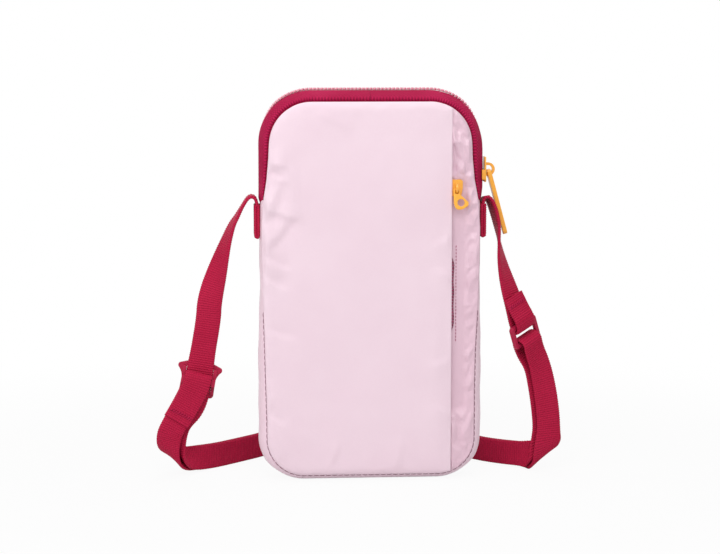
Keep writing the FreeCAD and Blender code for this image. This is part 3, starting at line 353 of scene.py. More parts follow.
@dataclass(frozen=True)
class ClothFinish:
    """A woven cloth.

    Attributes:
        name: The material's name.
        colour: Lit colour of the threads.
        shade: Colour where the dye is deeper.
        weave: How the threads lie.
        pitch: From thread to thread, in millimetres.
        depth: How far the threads stand up, in millimetres.
        roughness: Gloss of the threads.
        sheen: Soft edge gloss of the fibres.
        groove: How much darker the grooves between the threads are painted, as shade.
        mottle: How uneven the dye is.
        crinkle: Depth of fine crumples, in millimetres.
        glint: Strength of the threads' white gloss.
        on_body: Whether the weave lies on object coordinates, for pieces without cloth coordinates.
        CLOUDS: How small the dye's clouds are.
        DEEPEST: Share of the deeper dye colour that is left at the bottom of a groove, where shade is painted.
        DULLING: How much rougher the deeper dye is; a third of it comes off everywhere.
        FOLDS: How small the fine crumples are.
    """

    name: str
    colour: Colour
    shade: Colour
    weave: Weave
    pitch: float
    depth: float
    roughness: float = 0.6
    sheen: float = 0.15
    groove: float = 0.12
    mottle: float = 0.4
    crinkle: float = 0.0
    glint: float = 0.35
    on_body: bool = False

    CLOUDS = 45.0
    DEEPEST = 0.6
    DULLING = 0.12
    FOLDS = 210.0

    def material(self) -> bpy.types.Material:
        """Builds the material, or finds it.

        Returns:
            The material, on the piece's own cloth coordinates.
        """
        label = f"{self.name}_finish"
        if label in bpy.data.materials:
            return bpy.data.materials[label]
        made, bench, shader = start_material(label)
        spot = bench.put("ShaderNodeTexCoord").outputs["Object"]
        cloth = spot if self.on_body else bench.put("ShaderNodeUVMap", {"uv_map": UV_NAME}).outputs[0]
        weave = {"node_tree": ShaderGroups.weave(self.weave)}
        threads = bench.put("ShaderNodeGroup", weave, {"Vector": cloth, "Pitch": self.pitch * MM})
        dye = ShaderGroups.dyed(bench, spot, self, self.CLOUDS, self.mottle)
        # Painted shade: the grooves between the threads are darkened towards a deeper colour of the dye.
        groove_shade_mask = bench.math("MULTIPLY", threads.outputs["Groove"], self.groove)
        painted_groove_colour = linear([int(c * self.DEEPEST) for c in self.shade])
        bench.feed(shader, "Base Color", bench.mix(groove_shade_mask, dye.outputs["Colour"], painted_groove_colour))
        gloss = bench.math("MULTIPLY_ADD", dye.outputs["Mask"], self.DULLING, self.roughness - self.DULLING / 3)
        bench.feed(shader, "Roughness", gloss)
        shader.inputs["Sheen Weight"].default_value = self.sheen
        shader.inputs["Sheen Roughness"].default_value = 0.4
        shader.inputs["Specular IOR Level"].default_value = self.glint
        bump = bench.put("ShaderNodeBump", None, {"Strength": 0.8, "Distance": self.depth * MM})
        bench.feed(bump, "Height", threads.outputs["Height"])
        if self.crinkle > 0:
            folds = bench.put("ShaderNodeTexVoronoi", {"feature": "F1"}, {"Vector": spot, "Scale": self.FOLDS})
            soft = bench.put("ShaderNodeBump", None, {"Strength": 0.6, "Distance": self.crinkle * MM})
            bench.feed(soft, "Height", folds.outputs["Distance"])
            bench.feed(bump, "Normal", soft.outputs[0])
        bench.feed(shader, "Normal", bump.outputs[0])
        return made


@dataclass(frozen=True)
class HardFinish:
    """A moulded or enamelled surface.

    Attributes:
        name: The material's name.
        colour: Its colour.
        shade: Its colour in worn or thin places.
        roughness: Its gloss.
        coat: Weight of the clear coat.
        grain: Depth of the moulding grain, in millimetres.
        scale: Size of that grain.
        glint: Strength of the white gloss.
        CLOUDS: How small the clouds of wear are.
        WEAR: How strong the wear is.
        DULLING: How much rougher the worn places are.
    """

    name: str
    colour: Colour
    shade: Colour
    roughness: float
    coat: float
    grain: float = 0.01
    scale: float = 900.0
    glint: float = 0.4

    CLOUDS = 160.0
    WEAR = 0.45
    DULLING = 0.18

    def material(self) -> bpy.types.Material:
        """Builds the material, or finds it.

        Returns:
            The material, on object coordinates.
        """
        label = f"{self.name}_finish"
        if label in bpy.data.materials:
            return bpy.data.materials[label]
        made, bench, shader = start_material(label)
        spot = bench.put("ShaderNodeTexCoord").outputs["Object"]
        wear = ShaderGroups.dyed(bench, spot, self, self.CLOUDS, self.WEAR)
        bench.feed(shader, "Base Color", wear.outputs["Colour"])
        gloss = bench.math("MULTIPLY_ADD", wear.outputs["Mask"], self.DULLING, self.roughness)
        bench.feed(shader, "Roughness", gloss)
        shader.inputs["Specular IOR Level"].default_value = self.glint
        shader.inputs["Coat Weight"].default_value = self.coat
        shader.inputs["Coat Roughness"].default_value = 0.12
        grain = bench.put("ShaderNodeTexNoise", None, {"Vector": spot, "Scale": self.scale})
        bump = bench.put("ShaderNodeBump", None, {"Strength": 0.5, "Distance": self.grain * MM})
        bench.feed(bump, "Height", grain.outputs[0])
        bench.feed(shader, "Normal", bump.outputs[0])
        return made


PINK_COVER = ClothFinish(
    "pink_cover", (241, 217, 228), (234, 206, 219), Weave.PLAIN, 0.55, 0.018, 0.58, 0.1, 0.06, 0.35
)
# The strip's pink is the cover's cloth painted darker, as shade on a face turned to the right and down; its
# higher gloss and crumples are its own.
PINK_STRIP_PAINTED_SHADE = ClothFinish(
    "pink_strip", (227, 194, 208), (218, 179, 196), Weave.PLAIN, 0.5, 0.016, 0.34, 0.05, 0.06, 0.4, 0.3, 0.6
)
# The gusset's pink is the cover's cloth painted lighter, as light on flanks that face away from the lamps.
PINK_GUSSET_PAINTED_LIGHT = ClothFinish(
    "pink_gusset", (246, 219, 231), (239, 209, 222), Weave.PLAIN, 0.55, 0.018, 0.55, 0.1, 0.06, 0.35
)
LINING = ClothFinish(
    "lining_cloth", (226, 196, 208), (214, 180, 194), Weave.PLAIN, 0.5, 0.012, on_body=True
)
PADDING = ClothFinish(
    "padding_felt", (238, 236, 232), (224, 221, 216), Weave.PLAIN, 1.4, 0.12, 0.9, on_body=True
)
ZIP_TAPE = ClothFinish(
    "zip_tape", (208, 38, 93), (172, 19, 66), Weave.PLAIN, 1.5, 0.24, 0.62, 0.0, 0.7, 0.8, glint=0.08
)
WEBBING = ClothFinish(
    "webbing", (190, 30, 70), (168, 18, 56), Weave.RIBBED, 1.1, 0.08, 0.6, 0.0, 0.3, 0.4, glint=0.1
)
THREAD = ClothFinish(
    "stitch_thread", (184, 36, 78), (152, 18, 55), Weave.RIBBED, 0.3, 0.04, 0.5, 0.02, glint=0.05
)
# Real stitches whose thread is also painted darker than the cloth, to stand for the shadow in the seam's
# groove.
SEAM_THREAD_AND_SHADE = ClothFinish("seam_thread", (168, 118, 138), (146, 96, 118), Weave.RIBBED, 0.3, 0.03, 0.7, 0.0)
TEETH = HardFinish("zip_teeth", (238, 158, 176), (216, 112, 142), 0.34, 0.25)
POCKET_TAPE = ClothFinish(
    "pocket_tape", (222, 178, 196), (208, 158, 180), Weave.PLAIN, 1.2, 0.1, 0.62, 0.0, 0.3, 0.4, glint=0.2
)
ZIP_COIL = HardFinish("zip_coil", (178, 92, 122), (150, 64, 96), 0.45, 0.0)
YELLOW_METAL = HardFinish("yellow_metal", (249, 178, 62), (240, 158, 40), 0.3, 0.5)
YELLOW_PULL = HardFinish("yellow_pull", (251, 180, 62), (243, 162, 42), 0.36, 0.3, 0.02)
RASPBERRY_PLASTIC = HardFinish("raspberry_plastic", (180, 30, 70), (158, 20, 56), 0.4, 0.0, 0.02, glint=0.25)


def put_in_scene(name: str, data: bpy.types.ID) -> bpy.types.Object:
    """Makes an object of this data, at the origin.

    Args:
        name: Its name.
        data: Its mesh, curve, lamp or camera.

    Returns:
        The object.
    """
    made = bpy.data.objects.new(name, data)
    bpy.context.scene.collection.objects.link(made)
    return made


def piece_from(
    name: str,
    points: Array,
    faces: Sequence[Sequence[int]],
    finish: ClothFinish | HardFinish,
    cloth: Array | None = None,
) -> bpy.types.Object:
    """Makes an object from points in millimetres.

    Args:
        name: The piece's name.
        points: One row for each vertex.
        faces: Vertex numbers of each face, pointing outwards.
        finish: What it is made of.
        cloth: The vertices' places on the flat cloth, in millimetres.

    Returns:
        The new object, smooth shaded, at the origin.
    """
    mesh = bpy.data.meshes.new(name)
    mesh.from_pydata((np.asarray(points, float) * MM).tolist(), [], [tuple(f) for f in faces])
    mesh.update()
    if cloth is not None:
        layer = mesh.uv_layers.new(name=UV_NAME)
        corners = np.empty(len(mesh.loops), np.int32)
        mesh.loops.foreach_get("vertex_index", corners)
        layer.data.foreach_set("uv", (np.asarray(cloth, float) * MM)[corners].astype(np.float32).ravel())
    mesh.polygons.foreach_set("use_smooth", np.ones(len(mesh.polygons), bool))
    mesh.materials.append(finish.material())
    return put_in_scene(name, mesh)


def grid_faces(rows: int, columns: int, closed: bool = False, flip: bool = False) -> list[tuple[int, ...]]:
    """Quads between the rows of a grid.

    Args:
        rows: Number of rows.
        columns: Number of points in a row.
        closed: Whether each row is a ring.
        flip: Whether the faces look the other way.

    Returns:
        The faces' vertex numbers.
    """
    faces = []
    for r in range(rows - 1):
        for c in range(columns if closed else columns - 1):
            d = (c + 1) % columns
            quad = (r * columns + c, r * columns + d, (r + 1) * columns + d, (r + 1) * columns + c)
            faces.append(quad[::-1] if flip else quad)
    return faces


def spline_points(route: Sequence[Sequence[float]], steps: int = 24) -> Array:
    """The smooth line of a route.

    Args:
        route: The route's points, which steer the line.
        steps: Points on each stretch of it.

    Returns:
        Points on the line, in the route's own unit.
    """
    curve = bpy.data.curves.new("route", "CURVE")
    curve.dimensions = "3D"
    curve.resolution_u = steps
    line = curve.splines.new("NURBS")
    line.points.add(len(route) - 1)
    for spot, co in zip(line.points, route):
        spot.co = (*co, 1.0)
    line.use_endpoint_u = True
    line.order_u = 3
    holder = put_in_scene("route", curve)
    mesh = bpy.data.meshes.new_from_object(holder)
    points = np.array([v.co[:] for v in mesh.vertices])
    bpy.data.objects.remove(holder)
    bpy.data.curves.remove(curve)
    bpy.data.meshes.remove(mesh)
    return points


def unit(rows: Array) -> Array:
    """Each row at length 1."""
    return rows / np.linalg.norm(rows, axis=1, keepdims=True)


def even(points: Array, spacing: float) -> tuple[Array, Array]:
    """Where even steps along a line fall.

    Args:
        points: The line's points.
        spacing: About how long a step is.

    Returns:
        Distances along the line at its points, and the even distances.
    """
    gone = np.concatenate([[0.0], np.cumsum(np.linalg.norm(np.diff(points, axis=0), axis=1))])
    return gone, np.linspace(0.0, gone[-1], max(2, int(round(gone[-1] / spacing)) + 1))


def along(gone: Array, places: Array, rows: Array) -> Array:
    """Rows read at places along a line."""
    return np.stack([np.interp(places, gone, rows[:, k]) for k in range(rows.shape[1])], axis=1)


def bake(holder: bpy.types.Object, name: str) -> bpy.types.Object:
    """Turns an object and its modifiers into a plain mesh.

    Args:
        holder: The object, which is removed.
        name: The new object's name.

    Returns:
        The plain object.
    """
    bpy.context.view_layer.update()
    graph = bpy.context.evaluated_depsgraph_get()
    mesh = bpy.data.meshes.new_from_object(holder.evaluated_get(graph))
    mesh.name = name
    holder.modifiers.clear()
    old = holder.data
    bpy.data.objects.remove(holder)
    bpy.data.meshes.remove(old)
    return put_in_scene(name, mesh)


class RowTree:
    """A node tree that sets one shape along a path at an even pitch."""

    NAME = "row_along_path"

    @classmethod
    def tree(cls) -> bpy.types.NodeTree:
        """Builds the tree, or finds it.

        Returns:
            A tree with the inputs Geometry, Shape, Pitch, Cross and Finish.
        """
        if cls.NAME in bpy.data.node_groups:
            return bpy.data.node_groups[cls.NAME]
        tree = bpy.data.node_groups.new(cls.NAME, "GeometryNodeTree")
        sockets = {
            "Geometry": "NodeSocketGeometry",
            "Shape": "NodeSocketObject",
            "Pitch": "NodeSocketFloat",
            "Cross": "NodeSocketVector",
            "Finish": "NodeSocketMaterial",
        }
        for label, kind in sockets.items():
            tree.interface.new_socket(label, in_out="INPUT", socket_type=kind)
        tree.interface.new_socket("Geometry", in_out="OUTPUT", socket_type="NodeSocketGeometry")
        bench = NodeBench(tree)
        entry = bench.put("NodeGroupInput").outputs
        line = bench.put("GeometryNodeMeshToCurve", None, {"Mesh": entry["Geometry"]})
        spots = bench.put("GeometryNodeCurveToPoints", {"mode": "LENGTH"}, {"Curve": line.outputs[0]})
        bench.feed(spots, "Length", entry["Pitch"])
        ahead = spots.outputs["Tangent"]
        out = bench.put("ShaderNodeVectorMath", {"operation": "CROSS_PRODUCT"}, {0: ahead, 1: entry["Cross"]})
        first = bench.put("FunctionNodeAlignRotationToVector", {"axis": "X"}, {"Vector": ahead})
        then = bench.put("FunctionNodeAlignRotationToVector", {"axis": "Z", "pivot_axis": "X"})
        bench.feed(then, "Rotation", first.outputs[0])
        bench.feed(then, "Vector", out.outputs[0])
        shape = bench.put("GeometryNodeObjectInfo", None, {"Object": entry["Shape"]})
        copies = bench.put("GeometryNodeInstanceOnPoints", None, {"Points": spots.outputs["Points"]})
        bench.feed(copies, "Instance", shape.outputs["Geometry"])
        bench.feed(copies, "Rotation", then.outputs[0])
        real = bench.put("GeometryNodeRealizeInstances", None, {"Geometry": copies.outputs[0]})
        done = bench.put("GeometryNodeSetMaterial", None, {"Geometry": real.outputs[0]})
        bench.feed(done, "Material", entry["Finish"])
        bench.put("NodeGroupOutput", None, {"Geometry": done.outputs[0]})
        return tree

    @classmethod
    def lay(
        cls,
        name: str,
        path: Array,
        shape: bpy.types.Object,
        pitch: float,
        cross: Point,
        finish: ClothFinish | HardFinish,
    ) -> bpy.types.Object:
        """Lays copies of a shape along a path.

        Args:
            name: The piece's name.
            path: The path's points, in millimetres.
            shape: The shape: x along the path, z away from the surface. It is removed afterwards.
            pitch: From copy to copy, in millimetres.
            cross: The direction that turns the path's heading to the way out.
            finish: What the copies are made of.

        Returns:
            One plain mesh of all the copies.
        """
        mesh = bpy.data.meshes.new(name)
        edges = [(k, k + 1) for k in range(len(path) - 1)]
        mesh.from_pydata((np.asarray(path) * MM).tolist(), edges, [])
        holder = put_in_scene(f"{name}_path", mesh)
        row = holder.modifiers.new("row", "NODES")
        row.node_group = cls.tree()
        values = {"Shape": shape, "Pitch": pitch * MM, "Cross": cross, "Finish": finish.material()}
        for item in row.node_group.interface.items_tree:
            if item.in_out == "INPUT" and item.name in values:
                row[item.identifier] = values[item.name]
        made = bake(holder, name)
        made.data.polygons.foreach_set("use_smooth", np.ones(len(made.data.polygons), bool))
        bpy.data.objects.remove(shape)
        return made


@dataclass
class Ribbon:
    """A flat woven strap along a route.

    Attributes:
        name: The piece's name.
        route: The route's points, each with the direction across the strap there.
        width, thickness: Across the strap, and through it.
        rib: From one crosswise rib to the next.
        spread: Where the strap is pressed or folded wider, how far along, and by which share.
        path: Points on the strap's middle line, in metres, once it is built.
        STEPS: Cross-sections to each rib.
        SCALLOP: How far the edges wave with the ribs, as a share of the width.
        RELIEF: How far the ribs stand up, as a share of the thickness.
        PATH_POINTS: About how many points the middle line has.
        SECTION: The strap's cross-section, in half widths and half thicknesses.
    """

    name: str
    route: list[tuple[Point, Point]]
    width: float = 12.0
    thickness: float = 1.4
    rib: float = 1.1
    spread: tuple[tuple[Point, float, float], ...] = ()
    path: list[Vector] = field(default_factory=list)

    STEPS = 6
    SCALLOP = 0.013
    RELIEF = 0.16
    PATH_POINTS = 400
    SECTION = (
        *((-1.0, 0.0), (-0.975, -0.75), (-0.9, -1.0), (-0.45, -1.0), (0.0, -1.0), (0.45, -1.0)),
        *((0.9, -1.0), (0.975, -0.75), (1.0, 0.0), (0.975, 0.75), (0.9, 1.0), (0.45, 1.0)),
        *((0.0, 1.0), (-0.45, 1.0), (-0.9, 1.0), (-0.975, 0.75)),
    )

    def frames(self) -> tuple[Array, Array, Array, Array]:
        """Reads the strap's line.

        Returns:
            Distances, middle points, directions across and directions out of the face.
        """
        middle = spline_points([p for p, _ in self.route])
        aside = [tuple(np.add(p, np.multiply(w, self.width / 2 / np.linalg.norm(w)))) for p, w in self.route]
        edge = spline_points(aside)
        gone, places = even(middle, self.rib / self.STEPS)
        spots = along(gone, places, middle)
        ahead = unit(np.gradient(spots, axis=0))
        wide = along(gone, places, edge - middle)
        # At a diagonal fold the sections stay slanted; elsewhere they are square to the line.
        square = np.prod([1 - self.near(spots, spot, reach) for spot, reach, _ in self.spread], axis=0)
        wide = unit(wide - ahead * (square * np.sum(wide * ahead, axis=1))[:, None])
        return places, spots, wide, unit(np.cross(ahead, wide))

    @staticmethod
    def near(spots: Array, spot: Point, reach: float) -> Array:
        """1 at a place on the strap, falling to 0 beyond its reach."""
        return np.exp(-((np.linalg.norm(spots - spot, axis=1) / reach) ** 3))

    def build(self) -> bpy.types.Object:
        """Makes the strap, with its ribs and scalloped edges.

        Returns:
            The new object.
        """
        places, spots, wide, out = self.frames()
        section = np.array(self.SECTION)
        wave = np.cos(math.tau * places / self.rib)
        a = (self.width / 2) * (1 + self.SCALLOP * wave)
        for spot, reach, share in self.spread:
            a = a * (1 + share * self.near(spots, spot, reach))
        b = (self.thickness / 2) * (1 + self.RELIEF * wave)
        points = (
            spots[:, None, :]
            + wide[:, None, :] * (a[:, None] * section[None, :, 0])[:, :, None]
            + out[:, None, :] * (b[:, None] * section[None, :, 1])[:, :, None]
        )
        rows, columns = points.shape[:2]
        cloth = np.stack(np.broadcast_arrays(places[:, None], a[:, None] * section[None, :, 0]), axis=2)
        faces = grid_faces(rows, columns, closed=True)
        faces.append(tuple(range(columns - 1, -1, -1)))
        faces.append(tuple(range((rows - 1) * columns, rows * columns)))
        self.path = [Vector(p) * MM for p in spots[:: max(1, rows // self.PATH_POINTS)]]
        self.path.append(Vector(spots[-1]) * MM)
        return piece_from(self.name, points.reshape(-1, 3), faces, WEBBING, cloth.reshape(-1, 2))


@dataclass
class Place:
    """A fitting's own place on the strap.

    Attributes:
        base: Its middle.
        across: Direction across the strap.
        up: Direction along the strap, upwards.
    """

    base: Point
    across: Point
    up: Point

    def spot(self, aside: float, height: float, front: float) -> Point:
        """A point by its distances across, up and out to the front.

        Args:
            aside: Across the strap.
            height: Along it, upwards.
            front: Out to the front.

        Returns:
            The point.
        """
        out = np.cross(self.across, self.up)
        moved = np.array(self.base) + np.multiply(self.across, aside) + np.multiply(self.up, height)
        return tuple(moved + out * front)

    def turned(self, degrees: float) -> Point:
        """The direction across, turned in the fitting's plane."""
        a = math.radians(degrees)
        return tuple(np.multiply(self.across, math.cos(a)) - np.multiply(self.up, math.sin(a)))


def leaning(degrees: float, turn: float) -> tuple[Point, Point]:
    """Directions across and up of a fitting that leans sideways and then turns about the upright.

    Args:
        degrees: The lean: positive tips the top to the right.
        turn: The turn about the upright.

    Returns:
        The direction across and the direction up.
    """
    a, t = math.radians(degrees), math.radians(turn)
    across = (math.cos(a) * math.cos(t), math.cos(a) * math.sin(t), -math.sin(a))
    up = (math.sin(a) * math.cos(t), math.sin(a) * math.sin(t), math.cos(a))
    return across, up


# The strap's doubled run on the floor stands on its edge: height of its middle, direction across, half the gap.
ON_EDGE = 6.1
DOWN = (0.0, 0.0, -1.0)
FLOOR_GAP = 0.95


@dataclass
class Strap:
    """The shoulder strap: tabs, long doubled leg, short leg, and the folds at its fittings.

    Attributes:
        adjuster: Where the adjuster sits.
        ring: Where the ring sits.
        bartack_pitch: From stitch to stitch of a bartack.
        ring_room: How far in front of and behind the ring's lower bar the long strap turns.
        tab_layers: Where the two layers of a tab lie, from the pouch's middle.
        LEFT_RUN: The long strap from the left tab to the adjuster: points and directions across.
        LOOP: Its doubled run behind the pouch, with half the gap between the layers.
        FOLD: The diagonal fold at the right: its place, its reach and how much wider it is.
        AT_ADJUSTER: The same for the strap pressed flat in the adjuster, without its place.
        OUTER_SLIP: How far the outer layer has slipped sideways, by points from the loop's start.
        INNER_SLIP: The same for the inner layer, by points from the loop's end.
        SHORT_RUN: The short strap from the right tab to the ring.
        LENGTHS: The cords' lengths, in metres.
    """

    adjuster: Place = field(default_factory=lambda: Place((-82.6, 3.0, 48.2), *leaning(10.0, 0.0)))
    ring: Place = field(default_factory=lambda: Place((75.3, 0.0, 70.2), *leaning(-21.0, 36.0)))
    bartack_pitch: float = 1.2
    ring_room: float = 4.2
    tab_layers: tuple[float, float] = (53.3, 54.68)

    LEFT_RUN = (
        ((-53.9, 0.0, 132.6), (0.0, -1.0, 0.0)),
        ((-54.2, 0.0, 136.2), (0.0, -1.0, 0.0)),
        ((-57.6, 0.0, 137.2), (0.0, -1.0, 0.0)),
        ((-60.9, 0.0, 132.0), (0.0, -1.0, 0.0)),
        ((-63.4, 0.0, 127.2), (0.09, -1.0, 0.0)),
        ((-65.8, 0.0, 123.4), (0.19, -0.98, 0.0)),
        ((-68.6, 0.0, 115.7), (0.36, -0.93, 0.0)),
        ((-71.0, 0.0, 108.0), (0.57, -0.82, 0.0)),
        ((-73.2, 0.3, 100.3), (0.77, -0.64, 0.0)),
        ((-75.4, 0.7, 92.6), (0.92, -0.4, 0.0)),
        ((-77.0, 1.2, 85.0), (0.99, -0.16, 0.0)),
    )
    LOOP = (
        ((-92.2, 1.3, 27.5), (0.9, 0.0, -0.42), 1.6),
        ((-94.6, 2.6, 20.6), (0.95, -0.1, -0.26), 1.4),
        ((-95.4, 5.6, 13.4), (0.85, -0.45, -0.2), 1.6),
        ((-92.6, 9.8, 7.7), (0.5, -0.7, -0.5), 1.7),
        ((-86.2, 16.0, 6.5), (0.15, -0.27, -0.95), 1.3),
        *(
            ((x, y, ON_EDGE), DOWN, FLOOR_GAP)
            for x, y in (
                *((-75.5, 24.5), (-63.5, 36.5), (-49.5, 51.0), (-40.0, 70.0), (-37.0, 92.0)),
                *((-27.0, 112.0), (-6.0, 121.0), (17.0, 115.0), (31.0, 97.0), (36.0, 75.0)),
                *((44.0, 54.0), (56.0, 34.0), (67.0, 24.0)),
            )
        ),
        ((77.0, 14.6, 6.9), (-0.08, -0.06, -0.99), 1.2),
        ((85.8, 7.0, 7.2), (-0.76, 0.0, -0.65), 1.5),
        ((87.6, 5.0, 14.6), (-0.93, -0.15, -0.33), 1.6),
        ((87.9, 4.4, 23.0), (-0.97, -0.22, -0.1), 1.5),
        ((87.0, 3.8, 33.0), (-0.97, -0.25, 0.02), 1.3),
        ((84.9, 3.2, 44.5), (-0.94, -0.32, -0.14), 1.4),
        ((82.2, 2.8, 54.0), (-0.85, -0.45, -0.27), 1.8),
        ((78.4, 2.2, 60.4), (-0.755, -0.549, -0.358), 3.4),
    )
    FOLD = ((85.2, 7.0, 9.3), 9.5, 0.23)
    AT_ADJUSTER = (11.0, 0.083)
    OUTER_SLIP = {0: -2.6, 1: -2.4, 2: -1.8, 3: -1.0, 4: -0.4}
    INNER_SLIP = {1: 0.6, 2: 1.3, 3: 1.5, 4: 1.2, 5: 0.8, 6: 0.3}
    SHORT_RUN = (
        ((53.9, 0.0, 132.6), (0.0, 1.0, 0.0)),
        ((54.2, 0.0, 135.8), (0.0, 0.99, -0.1)),
        ((57.2, 0.0, 135.6), (-0.07, 0.97, -0.17)),
        ((59.9, 0.0, 129.0), (-0.17, 0.98, -0.07)),
        ((61.6, 0.0, 121.0), (-0.06, 1.0, -0.02)),
        ((62.3, 0.0, 115.0), (0.12, 0.99, 0.0)),
        ((63.3, 0.2, 107.6), (0.33, 0.94, 0.07)),
        ((65.0, 0.0, 100.0), (0.5, 0.84, 0.14)),
        ((67.2, -0.8, 92.2), (0.62, 0.71, 0.23)),
        ((69.5, -1.5, 84.6), (0.7, 0.63, 0.31)),
    )
    LENGTHS = {"strap_running": 0.5, "strap_return": 0.39, "strap_short": 0.0785}

    def at_ring(self, path: Sequence[tuple[float, float]], sign: int = 1) -> list[tuple[Point, Point]]:
        """A route at the ring.

        Args:
            path: Heights above the ring's middle, and distances in front of it.
            sign: -1 where the strap's direction across is turned round.

        Returns:
            The route's points, each with the direction across.
        """
        wide = tuple(np.multiply(self.ring.across, sign))
        return [(self.ring.spot(0.0, height, front), wide) for height, front in path]

    def layer(self, side: int) -> list[tuple[Point, Point]]:
        """The loop behind the pouch, moved to its inner (-1) or outer (1) layer.

        Args:
            side: Which layer.

        Returns:
            The layer's points, each with the direction across.
        """
        route, last = [], len(self.LOOP) - 1
        for k, (point, wide, gap) in enumerate(self.LOOP):
            before, after = self.LOOP[max(k - 1, 0)][0], self.LOOP[min(k + 1, last)][0]
            out = np.cross(np.subtract(after, before), wide)
            moved = np.add(point, out / np.linalg.norm(out) * gap * side)
            # The layers have slipped sideways on each other, at the adjuster and below the ring.
            slip = self.OUTER_SLIP.get(k, 0.0) if side > 0 else self.INNER_SLIP.get(last - k, 0.0)
            route.append((tuple(moved + np.multiply(wide, slip)), wide))
        return route

    def running_leg(self) -> Ribbon:
        """From the left tab through the adjuster, behind the pouch and up round the ring's lower bar.

        Returns:
            The strap.
        """
        flat = self.adjuster.across
        straight = [(self.adjuster.spot(0.0, height, 0.7), flat) for height in (30.0, 14.0, 0.0, -13.5)]
        turn = self.at_ring(((-2.0, -self.ring_room), (-2.0, 0.0)), -1)
        route = [*self.LEFT_RUN, *straight, *self.layer(-1), *turn]
        return Ribbon("strap_running", route, spread=((self.adjuster.base, *self.AT_ADJUSTER), self.FOLD))

    def return_leg(self) -> Ribbon:
        """From the fold at the adjuster, outside the running leg, to the ring's lower bar.

        Returns:
            The strap.
        """
        start = [
            (self.adjuster.spot(-7.0, -20.6, 3.2), self.adjuster.turned(19.0)),
            (self.adjuster.spot(-8.4, -24.6, 3.1), self.adjuster.turned(17.0)),
        ]
        turn = self.at_ring(((-2.0, self.ring_room), (-2.0, 0.0)), -1)
        return Ribbon("strap_return", [*start, *self.layer(1)[1:], *turn], spread=(self.FOLD,))

    def short_leg(self) -> Ribbon:
        """From the right tab down to the ring and round its upper bar."""
        turn = self.at_ring(((1.9, -2.8), (1.9, 2.7), (7.4, 2.7)))
        return Ribbon("strap_short", [*self.SHORT_RUN, *turn])

    def short_fold(self) -> Ribbon:
        """The short leg's end, up from the ring's upper bar in front of the leg."""
        route = self.at_ring(((5.4, 2.55), (8.6, 2.45), (11.4, 0.95), (19.4, -1.2)))
        return Ribbon("strap_short_fold", route, thickness=1.44)

    def adjuster_fold(self) -> Ribbon:
        """The long strap's end, folded round the adjuster's middle bar and leaning to the left.

        Returns:
            The strap.
        """
        path = (
            (-7.2, -21.4, 2.5, 19.0),
            (-2.4, -9.0, 2.5, 17.0),
            (0.0, 3.2, 2.5, 4.0),
            (0.0, 3.2, 5.6, 4.0),
            (-0.6, -3.0, 5.6, 9.0),
            (-3.9, -13.0, 4.2, 18.0),
            (-7.1, -21.0, 3.95, 19.0),
        )
        route = [(self.adjuster.spot(a, h, f), self.adjuster.turned(lean)) for a, h, f, lean in path]
        return Ribbon("adjuster_strap_fold", route, width=12.95)

    def tab(self, side: Side) -> Ribbon:
        """The folded tab at one end of the main zip.

        Args:
            side: Left or right.

        Returns:
            The strap.
        """
        inner, outer = self.tab_layers
        path = [*((inner, z) for z in (133.0, 121.0, 117.6)), *((outer, z) for z in (117.6, 121.0, 133.0))]
        route = [((x * side.sign, 0.0, z), (0.0, side.sign, 0.0)) for x, z in path]
        return Ribbon(f"strap_tab_{side.word}_webbing", route)

    def bartack(self, name: str, middle: Point, wide: Point, up: Point) -> bpy.types.Object:
        """A dense bar of stitches across a fold.

        Args:
            name: The piece's name.
            middle: The bar's middle, on the strap's face.
            wide: Direction across the strap.
            up: Direction along it.

        Returns:
            The stitches.
        """
        stitch = thread_shape("bartack_stitch", 2.5, 0.36, 30.0)
        wide_row = unit(np.array([wide]))[0]
        out = unit(np.array([np.cross(wide, up)]))[0]
        path = [np.add(middle, wide_row * a) for a in np.linspace(-5.0, 5.0, 12)]
        # The stitches stand across the row, so the shape lies along its own y.
        cross = tuple(np.cross(out, wide_row))
        return RowTree.lay(name, np.array(path), stitch, self.bartack_pitch, cross, THREAD)

    def dress(self) -> None:
        running, back, short = self.running_leg(), self.return_leg(), self.short_leg()
        legs = {leg.name: leg.build() for leg in (running, back, short)}
        inner = ("strap_upper", "strap_floor_inner", "strap_riser_inner")
        settle(legs["strap_running"], "pouch", "webbing", *inner)
        settle(legs["strap_return"], "", "webbing", "strap_floor_outer", "strap_riser_outer")
        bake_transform(legs["strap_return"])
        settle(legs["strap_short"], "pouch", "webbing", "short_strap")
        fold = settle(self.short_fold().build(), "pouch", "webbing", "short_strap")
        up = np.subtract(self.ring.spot(0.0, 19.4, -1.2), self.ring.spot(0.0, 11.2, 0.9))
        spot = self.ring.spot(0.0, 15.6, 0.55)
        tack = self.bartack("short_strap_stitches", spot, self.ring.across, tuple(up))
        settle(tack, "pouch", "stitches", "short_strap_bartack")
        for side in (Side.LEFT, Side.RIGHT):
            settle(self.tab(side).build(), "pouch", "webbing", f"strap_tab_{side.word}")
        settle(self.adjuster_fold().build(), "adjuster", "webbing", "adjuster_fold")
        lean = self.adjuster.turned(18.5)
        spot = self.adjuster.spot(-5.4, -17.0, 4.78)
        rise = tuple(np.cross(np.cross(self.adjuster.across, self.adjuster.up), lean))
        tack = self.bartack("adjuster_stitches", spot, lean, rise)
        settle(tack, "adjuster", "stitches", "adjuster_bartack")


